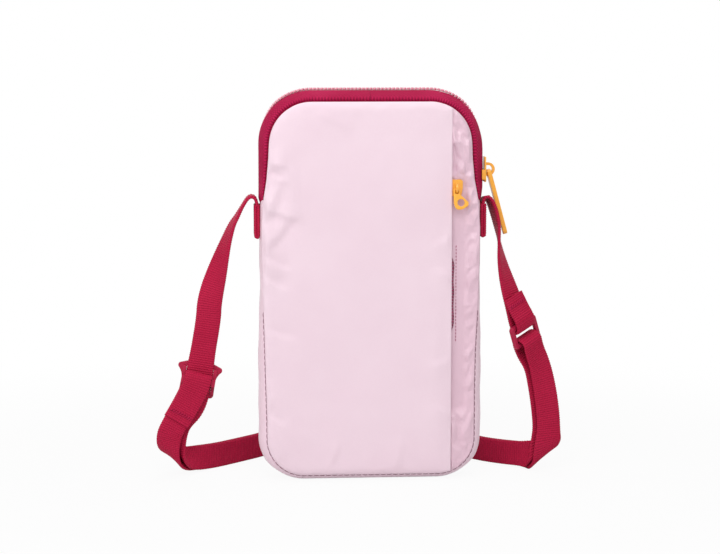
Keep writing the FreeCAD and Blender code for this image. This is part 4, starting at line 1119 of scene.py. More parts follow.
def thread_shape(name: str, length: float, radius: float, slant: float) -> bpy.types.Object:
    """One stitch: a short rounded thread that lies near its own y and rises in its middle.

    Args:
        name: The object's name.
        length: From end to end.
        radius: Of the thread.
        slant: How many degrees it lies off that direction: ALONG lays it along the row.

    Returns:
        The stitch, to be copied and then removed.
    """
    rings, around = 6, 6
    blunt, sag = 0.35, 0.35
    turn = math.cos(math.radians(slant)), math.sin(math.radians(slant))
    points, cloth = [], []
    for k in range(rings):
        t = k / (rings - 1)
        size = radius * (blunt + (1 - blunt) * math.sin(math.pi * min(max(t, 0.08), 0.92)) ** 0.4)
        lift = radius * (1.1 * math.sin(math.pi * t) - sag)
        for m in range(around):
            a = math.tau * m / around
            aside, ahead = size * math.cos(a), (t - 0.5) * length
            spot = (aside * turn[0] + ahead * turn[1], ahead * turn[0] - aside * turn[1])
            points.append((*spot, lift + size * math.sin(a)))
            cloth.append((t * length, m / around * radius * 6))
    faces = grid_faces(rings, around, closed=True, flip=True)
    faces.append(tuple(range(around)))
    faces.append(tuple(range(rings * around - 1, (rings - 1) * around - 1, -1)))
    return piece_from(name, np.array(points), faces, THREAD, np.array(cloth))


def settle(piece: bpy.types.Object, body: str, slot: str, *nodes: str) -> bpy.types.Object:
    """Sets a finished piece on its body and says which nodes it stands for.

    Args:
        piece: The piece.
        body: The body that it rides on, or nothing where it is blended between two.
        slot: Its material slot in the record; not used.
        nodes: The nodes that it replaces.

    Returns:
        The same piece.
    """
    if body:
        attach(piece, body)
    if nodes:
        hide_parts(*nodes)
    stands_for = ", ".join(nodes) or "no node"
    LOG.info("%s: %d faces on %s, for %s", piece.name, len(piece.data.polygons), body or "a blend", stands_for)
    return piece


@dataclass(frozen=True)
class Crease:
    """A fold in a cover.

    Attributes:
        start: One end of its edge, across and up.
        end: The other end.
        width: How wide it is.
        depth: How far it stands out, or in where negative.
        GENTLE: How wide its gentle side is, in widths.
        STEEP: How wide its steep side is.
        BEND: How softly its sides run out.
    """

    start: tuple[float, float]
    end: tuple[float, float]
    width: float
    depth: float

    GENTLE = 2.8
    STEEP = 0.7
    BEND = 1.3

    def lift(self, x: Array, z: Array) -> Array:
        """How far the fold moves points of the face: a sharp edge with a steep and a gentle side.

        Args:
            x: The points' places across.
            z: Their heights.

        Returns:
            How far each point moves out.
        """
        a, b = np.array(self.start), np.array(self.end)
        run = b - a
        length = float(np.linalg.norm(run))
        step = run / length
        t = (x - a[0]) * step[0] + (z - a[1]) * step[1]
        off = (x - a[0]) * -step[1] + (z - a[1]) * step[0]
        near = smooth(-0.25 * length, 0.3 * length, t) * (1 - smooth(0.7 * length, 1.25 * length, t))
        fall = np.where(off > 0, off / (self.GENTLE * self.width), -off / (self.STEEP * self.width))
        return near * self.depth * np.exp(-(fall**self.BEND))


def cloud(points: Array, size: float, seed: float) -> Array:
    """Soft noise, about -0.5 to 0.5, on points in millimetres.

    Args:
        points: One row for each point.
        size: About how large a bump is.
        seed: Moves the pattern.

    Returns:
        One value for each point.
    """
    return np.array([noise.noise(Vector(p) / size + Vector((seed, 0.0, seed))) for p in points])


def facets(u: Array, v: Array, size: float, seed: float) -> Array:
    """Random heights joined by flat facets, as thin crumpled cloth has.

    Args:
        u: Places along one way.
        v: Places along the other way.
        size: About how wide a facet is.
        seed: Chooses another pattern.

    Returns:
        Heights from 0 to 1.
    """
    skew = (math.sqrt(3) - 1) / 2 * (u + v) / size
    a, b = u / size + skew, v / size + skew
    i, j = np.floor(a), np.floor(b)
    fa, fb = a - i, b - j

    def corner(p: Array, q: Array) -> Array:
        """A random height at a corner of the net, always the same one there."""
        return np.mod(np.sin(p * 127.1 + q * 311.7 + seed) * 43758.5453, 1.0)

    lower = fa > fb
    middle = np.where(lower, corner(i + 1, j), corner(i, j + 1))
    more, less = np.where(lower, fa, fb), np.where(lower, fb, fa)
    return corner(i, j) * (1 - more) + middle * (more - less) + corner(i + 1, j + 1) * less


@dataclass
class PouchShape:
    """The pouch's outline and the line of its seams.

    Attributes:
        half, height: Half the width, and the height.
        upper, lower: Radii of the upper and lower corners.
        seam: How far the seams lie in front of and behind the middle.
        zip_end: Where the main zip comes to a point.
        zip_slope: How steeply the gusset's ends rise from that point.
        HEIGHTS, LEFT_INSET, RIGHT_INSET: Heights, and how far inside the outline each seam lies there.
        SIDES_MEET: Places across between which the left insets give way to the right ones.
    """

    half: float = 53.0
    height: float = 187.0
    upper: float = 25.0
    lower: float = 21.0
    seam: float = 9.4
    zip_end: float = 134.4
    zip_slope: float = 0.15

    HEIGHTS = (0.0, 8.0, 21.0, 32.0, 43.0, 63.0, 77.0, 90.0, 105.0, 122.0, 134.0, 145.0, 155.0, 165.0, 187.0)
    LEFT_INSET = (3.1, 3.2, 3.2, 3.1, 2.8, 2.3, 1.9, 1.5, 1.1, 1.0, 1.7, 3.5, 4.4, 4.9, 5.2)
    RIGHT_INSET = (3.1, 3.2, 3.3, 3.3, 3.3, 3.0, 2.3, 1.7, 1.2, 1.0, 1.7, 3.8, 4.8, 5.2, 5.2)
    SIDES_MEET = (-20.0, 20.0)

    def __post_init__(self) -> None:
        """Measures half the way round, from the base's middle up to the top's middle."""
        self.flat_low = self.half - self.lower
        self.side_low = self.flat_low + math.pi / 2 * self.lower
        self.side_high = self.side_low + self.height - self.upper - self.lower
        self.flat_high = self.side_high + math.pi / 2 * self.upper
        self.half_round = self.flat_high + self.half - self.upper

    def outline(self, way: Array) -> Line:
        """Points on the outline.

        Args:
            way: Distances from the base's middle, positive up the left flank, negative up the right.

        Returns:
            Across, up, and the two parts of the direction outwards.
        """
        a, sign = np.abs(way), np.where(np.asarray(way) >= 0, -1.0, 1.0)
        low = np.clip((a - self.flat_low) / self.lower, 0, math.pi / 2)
        high = np.clip((a - self.side_high) / self.upper, 0, math.pi / 2)
        x = np.clip(a, 0, self.flat_low) + self.lower * np.sin(low)
        x = x - self.upper * (1 - np.cos(high)) - np.clip(a - self.flat_high, 0, None)
        z = self.lower * (1 - np.cos(low)) + np.clip(a - self.side_low, 0, self.side_high - self.side_low)
        z = z + self.upper * np.sin(high)
        nx = np.sin(low) * np.cos(high)
        nz = np.sin(high) - np.cos(low)
        return sign * x, z, sign * nx, nz

    def inset(self, x: Array, z: Array) -> Array:
        """How far the panel's seam lies inside the outline.

        Args:
            x: The outline's places across.
            z: Its heights.

        Returns:
            The inset at each place.
        """
        left = np.interp(z, self.HEIGHTS, self.LEFT_INSET)
        right = np.interp(z, self.HEIGHTS, self.RIGHT_INSET)
        share = smooth(*self.SIDES_MEET, x)
        return left * (1 - share) + right * share

    def way_at(self, z: Array | float) -> Array | float:
        """The distance along the outline at a height on the straight flank."""
        return self.side_low + z - self.lower

    def zip_start(self, y: float) -> float:
        """The distance along the outline where the gusset gives way to the zip."""
        return self.way_at(self.zip_end + self.zip_slope * abs(y))

    @staticmethod
    def set_in(line: Line, inset: Array | float, y: Array | float) -> Array:
        """Points inside the outline.

        Args:
            line: What outline gives.
            inset: How far inside it they lie.
            y: How far behind the pouch's middle plane.

        Returns:
            One row for each point.
        """
        x, z, nx, nz = line
        return np.stack([x - nx * inset, np.broadcast_to(y, x.shape), z - nz * inset], axis=1)


@dataclass(frozen=True)
class Ripple:
    """Unevenness in cloth, as soft waves or as flat-sided folds.

    Attributes:
        depth: How strong it is.
        size: How far apart the waves or folds lie.
        seed: Which pattern they follow.
    """

    depth: float
    size: float
    seed: float

    def waves(self, spots: Array) -> Array:
        """How far soft waves lift each spot."""
        return self.depth * cloud(spots, self.size, self.seed)

    def folds(self, u: Array, v: Array) -> Array:
        """How far flat-sided folds lift the cloth at each place on it."""
        return self.depth * facets(u, v, self.size, self.seed)


@dataclass
class Panels:
    """The padded front and back panels, and the stitches of their seams.

    A pair for smooth gives where a change starts and where it is complete, in distance from the edge if no
    other measure is named.

    Attributes:
        shape: The pouch's outline.
        flap: Where the front panel ends over the pocket zip.
        roll, rise: How far the padding's round edge reaches in from the seam, and stands above it.
        crown, crown_reach: How much more the panel's middle swells, and over which distance.
        stitched: Up to here the seams' stitches show.
        hem_level: How far out the flap's hem lies.
        hem_round, hem_roll: How far its round edge rises from there, and reaches in.
        flat_from: This far in from its edge the panel swells no more.
        fold_depth: How strongly the creases show.
        pucker_reach, pulled_reach: Over which distance the seam's puckers fade, and the crumples.
        wall: Thickness of the cloth.
        seam_pitch: From stitch to stitch of the seams.
        thread_out, thread_in: How far the thread stands out of the seam, and lies towards the middle.
        steps, inner_rings: Points round a panel, and rings inside those near its edge.
        front_spine, SPINE: Where the front's rings close across the pouch, and any panel's in height.
        FLAP_TURN: From the flap's edge, where the panel's edge turns from sewn to free.
        NEAR_EDGE: Where the panel's rings lie near its edge.
        HEM_RISES, HEM_FADES: Where the hem rises to the padding, and gives way to the sewn form.
        WIDE_WAVES, FINE_WAVES, WAVES_BEGIN: The padding's and the cloth's waves, and where they set in.
        PUCKER, PUCKER_BEGINS: The waves that the seam draws, and where they set in.
        PULLED, PULLED_BEGINS: The crumples beside the left tab, and where they set in.
        PULLED_LOW, PULLED_HIGH, PULLED_ACROSS: The same in height from below and above, and across.
        PULLED_WAVER, PULLED_LEAN: How their lines waver, and which shares of height and place they follow.
        SEAM_STITCH: Length and radius of a stitch.
        FRONT_CREASES, BACK_CREASES, CREASES_BEGIN: The folds of each panel, and where they set in.
    """

    shape: PouchShape
    flap: float = 38.4
    roll: float = 5.0
    rise: float = 1.6
    crown: float = 0.75
    crown_reach: float = 12.0
    stitched: float = 81.0
    hem_level: float = 10.4
    hem_round: float = 0.3
    hem_roll: float = 0.9
    flat_from: float = 36.0
    fold_depth: float = 2.3
    pucker_reach: float = 4.0
    pulled_reach: float = 11.0
    wall: float = 0.6
    seam_pitch: float = 2.9
    thread_out: float = 0.15
    thread_in: float = 0.2
    steps: int = 420
    inner_rings: int = 24
    front_spine: float = -4.0

    SPINE = (46.0, 141.0)
    FLAP_TURN = (-1.5, 0.5)
    NEAR_EDGE = (0.0, 0.15, 0.4, 0.75, 1.2, 1.8, 2.5, 3.4, 4.4, 5.6, 7.0)
    HEM_RISES = (0.8, 9.0)
    HEM_FADES = (4.0, 22.0)
    WAVES_BEGIN = (0.5, 7.0)
    WIDE_WAVES = Ripple(0.34, 26.0, 3.1)
    FINE_WAVES = Ripple(0.12, 8.0, 7.7)
    PUCKER = Ripple(0.5, 5.0, 1.3)
    PUCKER_BEGINS = (0.0, 1.0)
    CREASES_BEGIN = (0.3, 2.5)
    PULLED = Ripple(4.2, 7.0, 5.3)
    PULLED_BEGINS = (0.2, 2.5)
    PULLED_LOW = (86.0, 112.0)
    PULLED_HIGH = (168.0, 150.0)
    PULLED_ACROSS = (-26.0, -40.0)
    PULLED_WAVER = Ripple(1.5, 11.0, 2.2)
    PULLED_LEAN = (0.6, 0.4)
    SEAM_STITCH = (2.5, 0.16)
    FRONT_CREASES = (
        Crease((-50.5, 131.5), (-35.5, 126.6), 1.7, 0.55),
        Crease((-36.0, 126.4), (-47.5, 112.0), 1.6, -0.5),
        Crease((-50.0, 108.8), (-39.0, 103.4), 1.5, -0.45),
        Crease((-50.5, 99.5), (-41.0, 94.2), 1.5, -0.4),
        Crease((-50.5, 75.0), (-37.0, 70.6), 1.8, -0.3),
        Crease((-49.5, 33.8), (-42.0, 28.6), 1.4, -0.3),
        Crease((-49.0, 153.0), (-40.5, 151.2), 1.1, 0.4),
        Crease((-49.0, 148.5), (-42.0, 147.0), 1.0, -0.4),
        Crease((-49.5, 143.5), (-42.0, 144.2), 1.0, 0.35),
        Crease((-24.0, 176.0), (-10.0, 170.0), 3.4, 0.25),
        Crease((41.5, 120.0), (30.0, 112.5), 2.2, 0.3),
        Crease((41.5, 96.0), (31.0, 102.0), 2.0, 0.28),
        Crease((41.0, 60.0), (28.0, 55.0), 2.2, 0.22),
        Crease((41.0, 30.0), (30.0, 36.5), 2.0, 0.25),
        Crease((-20.0, 7.0), (-16.0, 19.0), 2.2, 0.2),
        Crease((12.0, 6.0), (15.0, 20.0), 2.4, 0.2),
    )
    BACK_CREASES = (
        Crease((-50.0, 128.0), (-36.0, 122.0), 1.8, 0.5),
        Crease((50.0, 129.0), (37.0, 121.0), 1.8, 0.5),
        Crease((48.0, 101.0), (38.0, 95.0), 1.6, 0.35),
        Crease((-49.0, 84.0), (-38.0, 78.0), 1.7, 0.3),
        Crease((46.0, 40.0), (35.0, 32.0), 1.8, 0.3),
        Crease((-44.0, 22.0), (-34.0, 30.0), 1.8, 0.3),
        Crease((-8.0, 178.0), (8.0, 171.0), 3.0, 0.25),
    )

    def panel(self, side: Side) -> bpy.types.Object:
        """A padded panel: a shell that rolls up from its seam and swells a little in its middle.

        Args:
            side: The front panel, which ends in a free flap, or the back one.

        Returns:
            The panel, with the cloth's thickness.
        """
        front = side is Side.FRONT
        way = np.linspace(-self.shape.half_round, self.shape.half_round, self.steps + 1)[:-1]
        line = self.shape.outline(way)
        edge = self.shape.set_in(line, self.shape.inset(*line[:2]), 0.0)[:, [0, 2]]
        free = np.zeros(len(edge))
        if front:
            before, past = self.FLAP_TURN
            free = smooth(self.flap + before, self.flap + past, edge[:, 0])
            edge[:, 0] = np.minimum(edge[:, 0], self.flap)
        middle = np.full(len(edge), self.front_spine if front else 0.0)
        spine = np.stack([middle, np.clip(line[1], *self.SPINE)], axis=1)
        reach = np.linalg.norm(spine - edge, axis=1)
        last = self.NEAR_EDGE[-1]
        depths = [np.full(len(edge), depth) for depth in self.NEAR_EDGE]
        shares = np.linspace(0.0, 1.0, self.inner_rings + 1)[1:]
        depths.extend(last + (reach - last) * share for share in shares)
        rings, cloth = [], []
        for depth in depths:
            flat = edge + (spine - edge) * (depth / reach)[:, None]
            level = self.level(flat, depth, free, front)
            rings.append(np.stack([flat[:, 0], side.sign * level, flat[:, 1]], axis=1))
            cloth.append(flat)
        points = np.concatenate(rings)
        faces = grid_faces(len(rings), len(edge), closed=True, flip=front)
        name = f"{side.word}_panel_cover"
        made = piece_from(name, points, faces, PINK_COVER, np.concatenate(cloth))
        close_seams(made)
        thicken(made, self.wall)
        return made

    def level(self, flat: Array, depth: Array, free: Array, front: bool) -> Array:
        """How far out the panel's surface lies.

        Args:
            flat: Points across and up.
            depth: Their distance in from the panel's edge.
            free: 1 where that edge is the flap's hem, 0 where it is sewn.
            front: Whether this is the front panel.

        Returns:
            Distances from the pouch's middle plane.
        """
        x, z = flat[:, 0], flat[:, 1]
        depth = np.minimum(depth, self.flat_from)
        padded = self.shape.seam + self.rise
        sewn = self.shape.seam + self.rise * rounded(depth / self.roll)
        hem = self.hem_level + self.hem_round * rounded(depth / self.hem_roll)
        hem = hem + (padded - self.hem_level - self.hem_round) * smooth(*self.HEM_RISES, depth)
        free = free * (1 - smooth(*self.HEM_FADES, depth))
        level = sewn * (1 - free) + hem * free + self.crown * (1 - np.exp(-depth / self.crown_reach))
        spots = np.stack([x, np.zeros(len(x)), z], axis=1)
        soft = smooth(*self.WAVES_BEGIN, depth)
        level = level + soft * (self.WIDE_WAVES.waves(spots) + self.FINE_WAVES.waves(spots))
        near_seam = np.exp(-depth / self.pucker_reach) * (1 - free) * smooth(*self.PUCKER_BEGINS, depth)
        level = level + near_seam * self.PUCKER.waves(spots)
        for crease in self.FRONT_CREASES if front else self.BACK_CREASES:
            level = level + self.fold_depth * smooth(*self.CREASES_BEGIN, depth) * crease.lift(x, z)
        return level + self.pulled(spots, depth)

    def pulled(self, spots: Array, depth: Array) -> Array:
        """How far the crumples beside the left tab lift the panel.

        Args:
            spots: The panel's points, on the pouch's middle plane.
            depth: Their distance in from its edge.

        Returns:
            The lift at each point.
        """
        x, z = spots[:, 0], spots[:, 2]
        beside_tab = smooth(*self.PULLED_LOW, z) * smooth(*self.PULLED_HIGH, z)
        beside_tab = beside_tab * smooth(*self.PULLED_ACROSS, x)
        strength = beside_tab * smooth(*self.PULLED_BEGINS, depth) * np.exp(-depth / self.pulled_reach)
        up, aside = self.PULLED_LEAN
        crumple = self.PULLED.folds(x + self.PULLED_WAVER.waves(spots), up * z - aside * x)
        return strength * (crumple - self.PULLED.depth / 2)

    def seam(self, side: Side) -> bpy.types.Object:
        """The stitches that show between a panel and the gusset, round the lower half.

        Args:
            side: Front or back.

        Returns:
            The stitches.
        """
        end = self.shape.way_at(self.stitched)
        line = self.shape.outline(np.linspace(end, -end, 600))
        inset = self.shape.inset(*line[:2]) - self.thread_out
        path = self.shape.set_in(line, inset, side.sign * (self.shape.seam - self.thread_in))
        # The stitches' dark thread also paints the shadow in the seam.
        stitch = thread_shape("seam_stitch", *self.SEAM_STITCH, ALONG)
        name = f"{side.word}_seam_stitches"
        return RowTree.lay(name, path, stitch, self.seam_pitch, (0.0, -1.0, 0.0), SEAM_THREAD_AND_SHADE)

    def dress(self) -> None:
        for side in (Side.FRONT, Side.BACK):
            cover = settle(self.panel(side), "pouch", "pink_cloth", f"{side.word}_panel")
            settle(self.seam(side), "pouch", "stitches")


@dataclass
class Gusset:
    """The band down both flanks and under the base, up to the main zip's pointed ends.

    Shares across are of the distance from the pouch's middle plane to a seam.

    Attributes:
        shape: The pouch's outline.
        wall: Thickness of the cloth.
        steps, columns, rim_columns: Points along the band, across it, and across each rim.
        rim_from: The share across where a rim starts.
        turn_power, slack_power: How late the band turns in to its seams, and goes taut beside them.
        rim_tuck, RIM_TUCKS: How far its rims go in under the panels, and in which shares across.
        rim_turn, RIM_TURNS: How far they turn back towards the middle plane, and in which shares.
        end_tuck, END_TUCKS: How far its ends go in under the zip, and in which shares of its length.
        hollow: How far its upper flanks are drawn in.
        swell, SWELLS: How far out its lower flanks stand from there, and in which heights that comes.
        WAVES, SLACK: The waves of its slack cloth, and the heights in which they set in.
    """

    shape: PouchShape
    wall: float = 0.8
    steps: int = 321
    columns: int = 22
    rim_columns: int = 6
    rim_from: float = 0.9
    turn_power: float = 2.6
    slack_power: int = 4
    rim_tuck: float = 0.55
    rim_turn: float = 0.5
    end_tuck: float = 0.35
    hollow: float = 0.25
    swell: float = 1.0

    WAVES = Ripple(0.5, 13.0, 5.2)
    RIM_TUCKS = (0.94, 1.0)
    RIM_TURNS = (0.96, 1.0)
    END_TUCKS = (0.985, 1.0)
    SLACK = (1.5, 12.0)
    SWELLS = (100.0, 55.0)

    def band(self) -> bpy.types.Object:
        """The band's mesh, row by row across its width.

        Returns:
            The band, with the cloth's thickness.
        """
        rim = np.linspace(self.rim_from, 1.0, self.rim_columns)
        inner = np.linspace(-self.rim_from, self.rim_from, self.columns)[1:-1]
        steps = np.linspace(-1.0, 1.0, self.steps)
        tucked = self.end_tuck * smooth(*self.END_TUCKS, np.abs(steps))
        rows, cloth = [], []
        for v in np.concatenate([-rim[::-1], inner, rim]):
            share = abs(v)
            y = self.shape.seam * v
            way = steps * self.shape.zip_start(y)
            line = self.shape.outline(way)
            x, z = line[:2]
            inset = self.shape.inset(x, z) * share**self.turn_power
            inset = inset + self.rim_tuck * smooth(*self.RIM_TUCKS, share)
            spots = np.stack([x, np.full(len(x), y), z], axis=1)
            loose = (1 - share**self.slack_power) * smooth(*self.SLACK, z)
            drawn_in = self.hollow - self.swell * smooth(*self.SWELLS, z)
            inset = inset + loose * (self.WAVES.waves(spots) + drawn_in) + tucked
            turned = self.rim_turn * v * smooth(*self.RIM_TURNS, share)
            rows.append(self.shape.set_in(line, inset, y - turned))
            cloth.append(np.stack([way, np.full(len(way), y)], axis=1))
        faces = grid_faces(len(rows), len(steps))
        made = piece_from("gusset_cover", np.concatenate(rows), faces, PINK_GUSSET_PAINTED_LIGHT, np.concatenate(cloth))
        thicken(made, self.wall)
        return made

    def dress(self) -> None:
        band = settle(self.band(), "pouch", "pink_cloth", "gusset_band")


@dataclass
class SideStrip:
    """The thin crumpled strip between the pocket zip and the right seam, and the stitches of its hem.

    Attributes:
        shape: The pouch's outline.
        wall: Thickness of the cloth.
        rows, columns: Points along it and across it.
        left, bared: Where it starts, under the flap, and how much further right where the coil shows.
        waver, waver_turn: How far its edge wavers there, and how fast, in radians a millimetre.
        least: Its least width.
        lane_level, lane_calm: How far out it lies in the slider's lane, and how far that calms its folds.
        top_lift: How much higher its upper end lies beside the flap.
        seam_level: How far out its sewn edge lies.
        seam_rise, seam_roll: How far it rises from there, and in which distance.
        slack_from: The distance from the seam in which its folds set in.
        fold_line, fold_middle: Where its folds change their slant, and the level they go up and down about.
        flap_level: How far out it may come under the flap.
        top_room, bare_room: How much further at its upper end, and beside the flap.
        hem_pitch: From stitch to stitch of its hem.
        ENDS: Heights of its ends.
        CORNERS: Below and above these heights the pouch's round corners limit it.
        COIL_SHOWS: Heights between which the coil comes into view, and goes again.
        LANE_HIGH, LANE_LOW, LANE_ACROSS: Where the slider's lane begins, from above, below and the right.
        TOP, TOP_ACROSS: Heights in which the upper end begins, and places across in which it is lifted.
        SECTION: Places across, and how far out the strip lies there.
        WAVER_ACROSS, WAVER_UP: How its folds waver across, and up and down.
        SLANT: Shares of height and of place across along which they run.
        LARGE_FOLDS, SMALL_FOLDS: Its large folds, and the smaller ones on them.
        LIVELY, LIVELY_FROM: How strong they are low down and how much stronger high up, and from where.
        BESIDE_FLAP: Places across in which it comes out from under the flap.
        HEM_LINE, HEM_ENDS: Where the hem's stitches lie, across and in depth, and between which heights.
        HEM_STITCH: Length and radius of a stitch.
    """

    shape: PouchShape
    wall: float = 0.4
    rows: int = 460
    columns: int = 48
    left: float = 36.6
    bared: float = 3.0
    waver: float = 0.15
    waver_turn: float = 0.5
    least: float = 0.4
    lane_level: float = 8.6
    lane_calm: float = 0.88
    top_lift: float = 0.9
    seam_level: float = 9.3
    seam_rise: float = 1.3
    seam_roll: float = 2.2
    slack_from: float = 1.8
    fold_line: float = 45.0
    fold_middle: float = 1.6
    flap_level: float = 9.6
    top_room: float = 0.65
    bare_room: float = 3.0
    hem_pitch: float = 1.6

    ENDS = (2.6, 181.0)
    CORNERS = (30.0, 150.0)
    COIL_SHOWS = ((66.0, 76.0), (104.0, 114.0))
    LANE_HIGH = (149.0, 144.0)
    LANE_LOW = (30.0, 36.0)
    LANE_ACROSS = (46.6, 43.9)
    TOP = (150.0, 166.0)
    TOP_ACROSS = (43.5, 39.0)
    SECTION = ((37.0, 45.0, 53.0), (9.5, 9.6, 10.1))
    WAVER_ACROSS = Ripple(1.2, 9.0, 4.4)
    WAVER_UP = Ripple(1.2, 9.0, 8.8)
    SLANT = (0.62, 0.35)
    LARGE_FOLDS = Ripple(2.6, 5.2, 2.4)
    SMALL_FOLDS = Ripple(1.1, 2.5, 9.1)
    LIVELY = (0.7, 0.5)
    LIVELY_FROM = (95.0, 140.0)
    BESIDE_FLAP = (38.2, 40.4)
    HEM_LINE = (40.6, -8.72)
    HEM_ENDS = (68.0, 113.0)
    HEM_STITCH = (0.9, 0.22)

    def strip(self) -> bpy.types.Object:
        """The strip's mesh.

        Returns:
            The strip, with the cloth's thickness.
        """
        line = self.shape.outline(-np.linspace(0.0, self.shape.half_round, 2400))
        seam = self.shape.set_in(line, self.shape.inset(*line[:2]), 0.0)[:, [0, 2]].T
        heights = np.linspace(*self.ENDS, self.rows)
        right = np.interp(heights, seam[1], seam[0])
        comes, goes = self.COIL_SHOWS
        bare = smooth(*comes, heights) * (1 - smooth(*goes, heights))
        wavy = self.waver * np.sin(heights * self.waver_turn) * bare
        left = np.minimum(self.left + self.bared * bare + wavy, right - self.least)
        profile = np.linspace(0.0, 1.0, self.columns)
        grid = left[:, None] + (right - left)[:, None] * profile[None, :]
        up = np.repeat(heights[:, None], self.columns, axis=1)
        spots = np.stack([grid, np.zeros_like(grid), up], axis=2).reshape(-1, 3)
        across, height = spots[:, 0], spots[:, 2]
        lower, upper = seam[:, seam[1] < self.CORNERS[0]], seam[:, seam[1] > self.CORNERS[1]]
        room = np.repeat(right, self.columns) - across
        room = np.minimum(room, np.interp(-across, -upper[0], upper[1]) - height)
        room = np.clip(np.minimum(room, height - np.interp(across, lower[0], lower[1])), 0.0, None)
        points = np.stack([across, -self.level(spots, room), height], axis=1)
        faces = grid_faces(len(heights), self.columns)
        made = piece_from("side_strip_cover", points, faces, PINK_STRIP_PAINTED_SHADE, spots[:, [0, 2]])
        thicken(made, self.wall)
        return made

    def level(self, spots: Array, room: Array) -> Array:
        """How far out the strip's surface lies: low beside the slider, rolled down to the seam, and crumpled.

        Args:
            spots: Its points, on the pouch's middle plane.
            room: Their distance in from the seam.

        Returns:
            Distances from the pouch's middle plane.
        """
        across, height = spots[:, 0], spots[:, 2]
        lane = smooth(*self.LANE_HIGH, height) * smooth(*self.LANE_LOW, height)
        lane = lane * smooth(*self.LANE_ACROSS, across)
        top = smooth(*self.TOP, height)
        low = np.interp(across, *self.SECTION) + self.top_lift * top * smooth(*self.TOP_ACROSS, across)
        low = low * (1 - lane) + self.lane_level * lane
        level = np.minimum(low, self.seam_level + self.seam_rise * rounded(room / self.seam_roll))
        loose = np.clip(room / self.slack_from, 0, 1) * (1 - self.lane_calm * lane)
        limit = self.flap_level + self.top_room * top + self.bare_room * smooth(*self.BESIDE_FLAP, across)
        return np.minimum(level + self.crumple(spots) * loose, limit)

    def crumple(self, spots: Array) -> Array:
        """How far the strip's folds lift it, where nothing holds it down.

        Args:
            spots: Its points, on the pouch's middle plane.

        Returns:
            The lift at each point.
        """
        across, height = spots[:, 0], spots[:, 2]
        up, aside = self.SLANT
        u = across + self.WAVER_ACROSS.waves(spots)
        v = height * up - aside * np.abs(across - self.fold_line) + self.WAVER_UP.waves(spots)
        lift = self.LARGE_FOLDS.folds(u, v) + self.SMALL_FOLDS.folds(v, u) - self.fold_middle
        calm, more = self.LIVELY
        return lift * (calm + more * smooth(*self.LIVELY_FROM, height))

    def hem_stitches(self) -> bpy.types.Object:
        """The stitches along the strip's edge, where the coil shows.

        Returns:
            The stitches.
        """
        x, y = self.HEM_LINE
        path = np.array([(x, y, z) for z in np.linspace(*self.HEM_ENDS, 40)])
        stitch = thread_shape("hem_stitch", *self.HEM_STITCH, ALONG)
        return RowTree.lay("strip_hem_stitches", path, stitch, self.hem_pitch, (1.0, 0.0, 0.0), ZIP_COIL)

    def dress(self) -> None:
        strip = settle(self.strip(), "pouch", "pink_cloth", "front_side_strip")
        settle(self.hem_stitches(), "pouch", "stitches")


def close_seams(piece: bpy.types.Object) -> None:
    """Merges points that fall together, as along a panel's spine.

    Args:
        piece: The piece.
    """
    mesh = bmesh.new()
    mesh.from_mesh(piece.data)
    bmesh.ops.remove_doubles(mesh, verts=mesh.verts, dist=CLOTH_MERGE)
    mesh.to_mesh(piece.data)
    mesh.free()


def thicken(piece: bpy.types.Object, wall: float) -> None:
    """Gives a cloth its thickness, inwards from its outer face.

    Args:
        piece: The cloth.
        wall: Its thickness.
    """
    shell = piece.modifiers.new("cloth_thickness", "SOLIDIFY")
    shell.thickness = wall * MM
    shell.offset = -1.0
    shell.use_even_offset = False


def tooth_shape(name: str, width: float, root: float, reach: float, height: float) -> bpy.types.Object:
    """One tooth: an arched bar from its root to its tip along y, standing up in z.

    Args:
        name: The object's name.
        width: Along the chain.
        root: Where it starts across the chain.
        reach: Where it ends across the chain.
        height: How far it stands up.

    Returns:
        The tooth, to be copied and then removed.
    """
    arch = ((-0.5, 0.0), (-0.5, 0.55), (-0.27, 0.95), (0.0, 1.0), (0.27, 0.95), (0.5, 0.55), (0.5, 0.0))
    rings = ((0.0, 0.86), (0.08, 1.0), (0.62, 1.0), (0.92, 0.84), (1.0, 0.6))
    points = []
    for t, size in rings:
        y = root + (reach - root) * t
        points.extend((a * width * size, y, h * height * (0.55 + 0.45 * size)) for a, h in arch)
    count = len(arch)
    outwards = reach < root
    faces = grid_faces(len(rings), count, closed=True, flip=outwards)
    ends = [tuple(range(count)), tuple(range((len(rings) - 1) * count, len(rings) * count))]
    faces.append(ends[0] if outwards else ends[0][::-1])
    faces.append(ends[1][::-1] if outwards else ends[1])
    return piece_from(name, np.array(points), faces, TEETH)


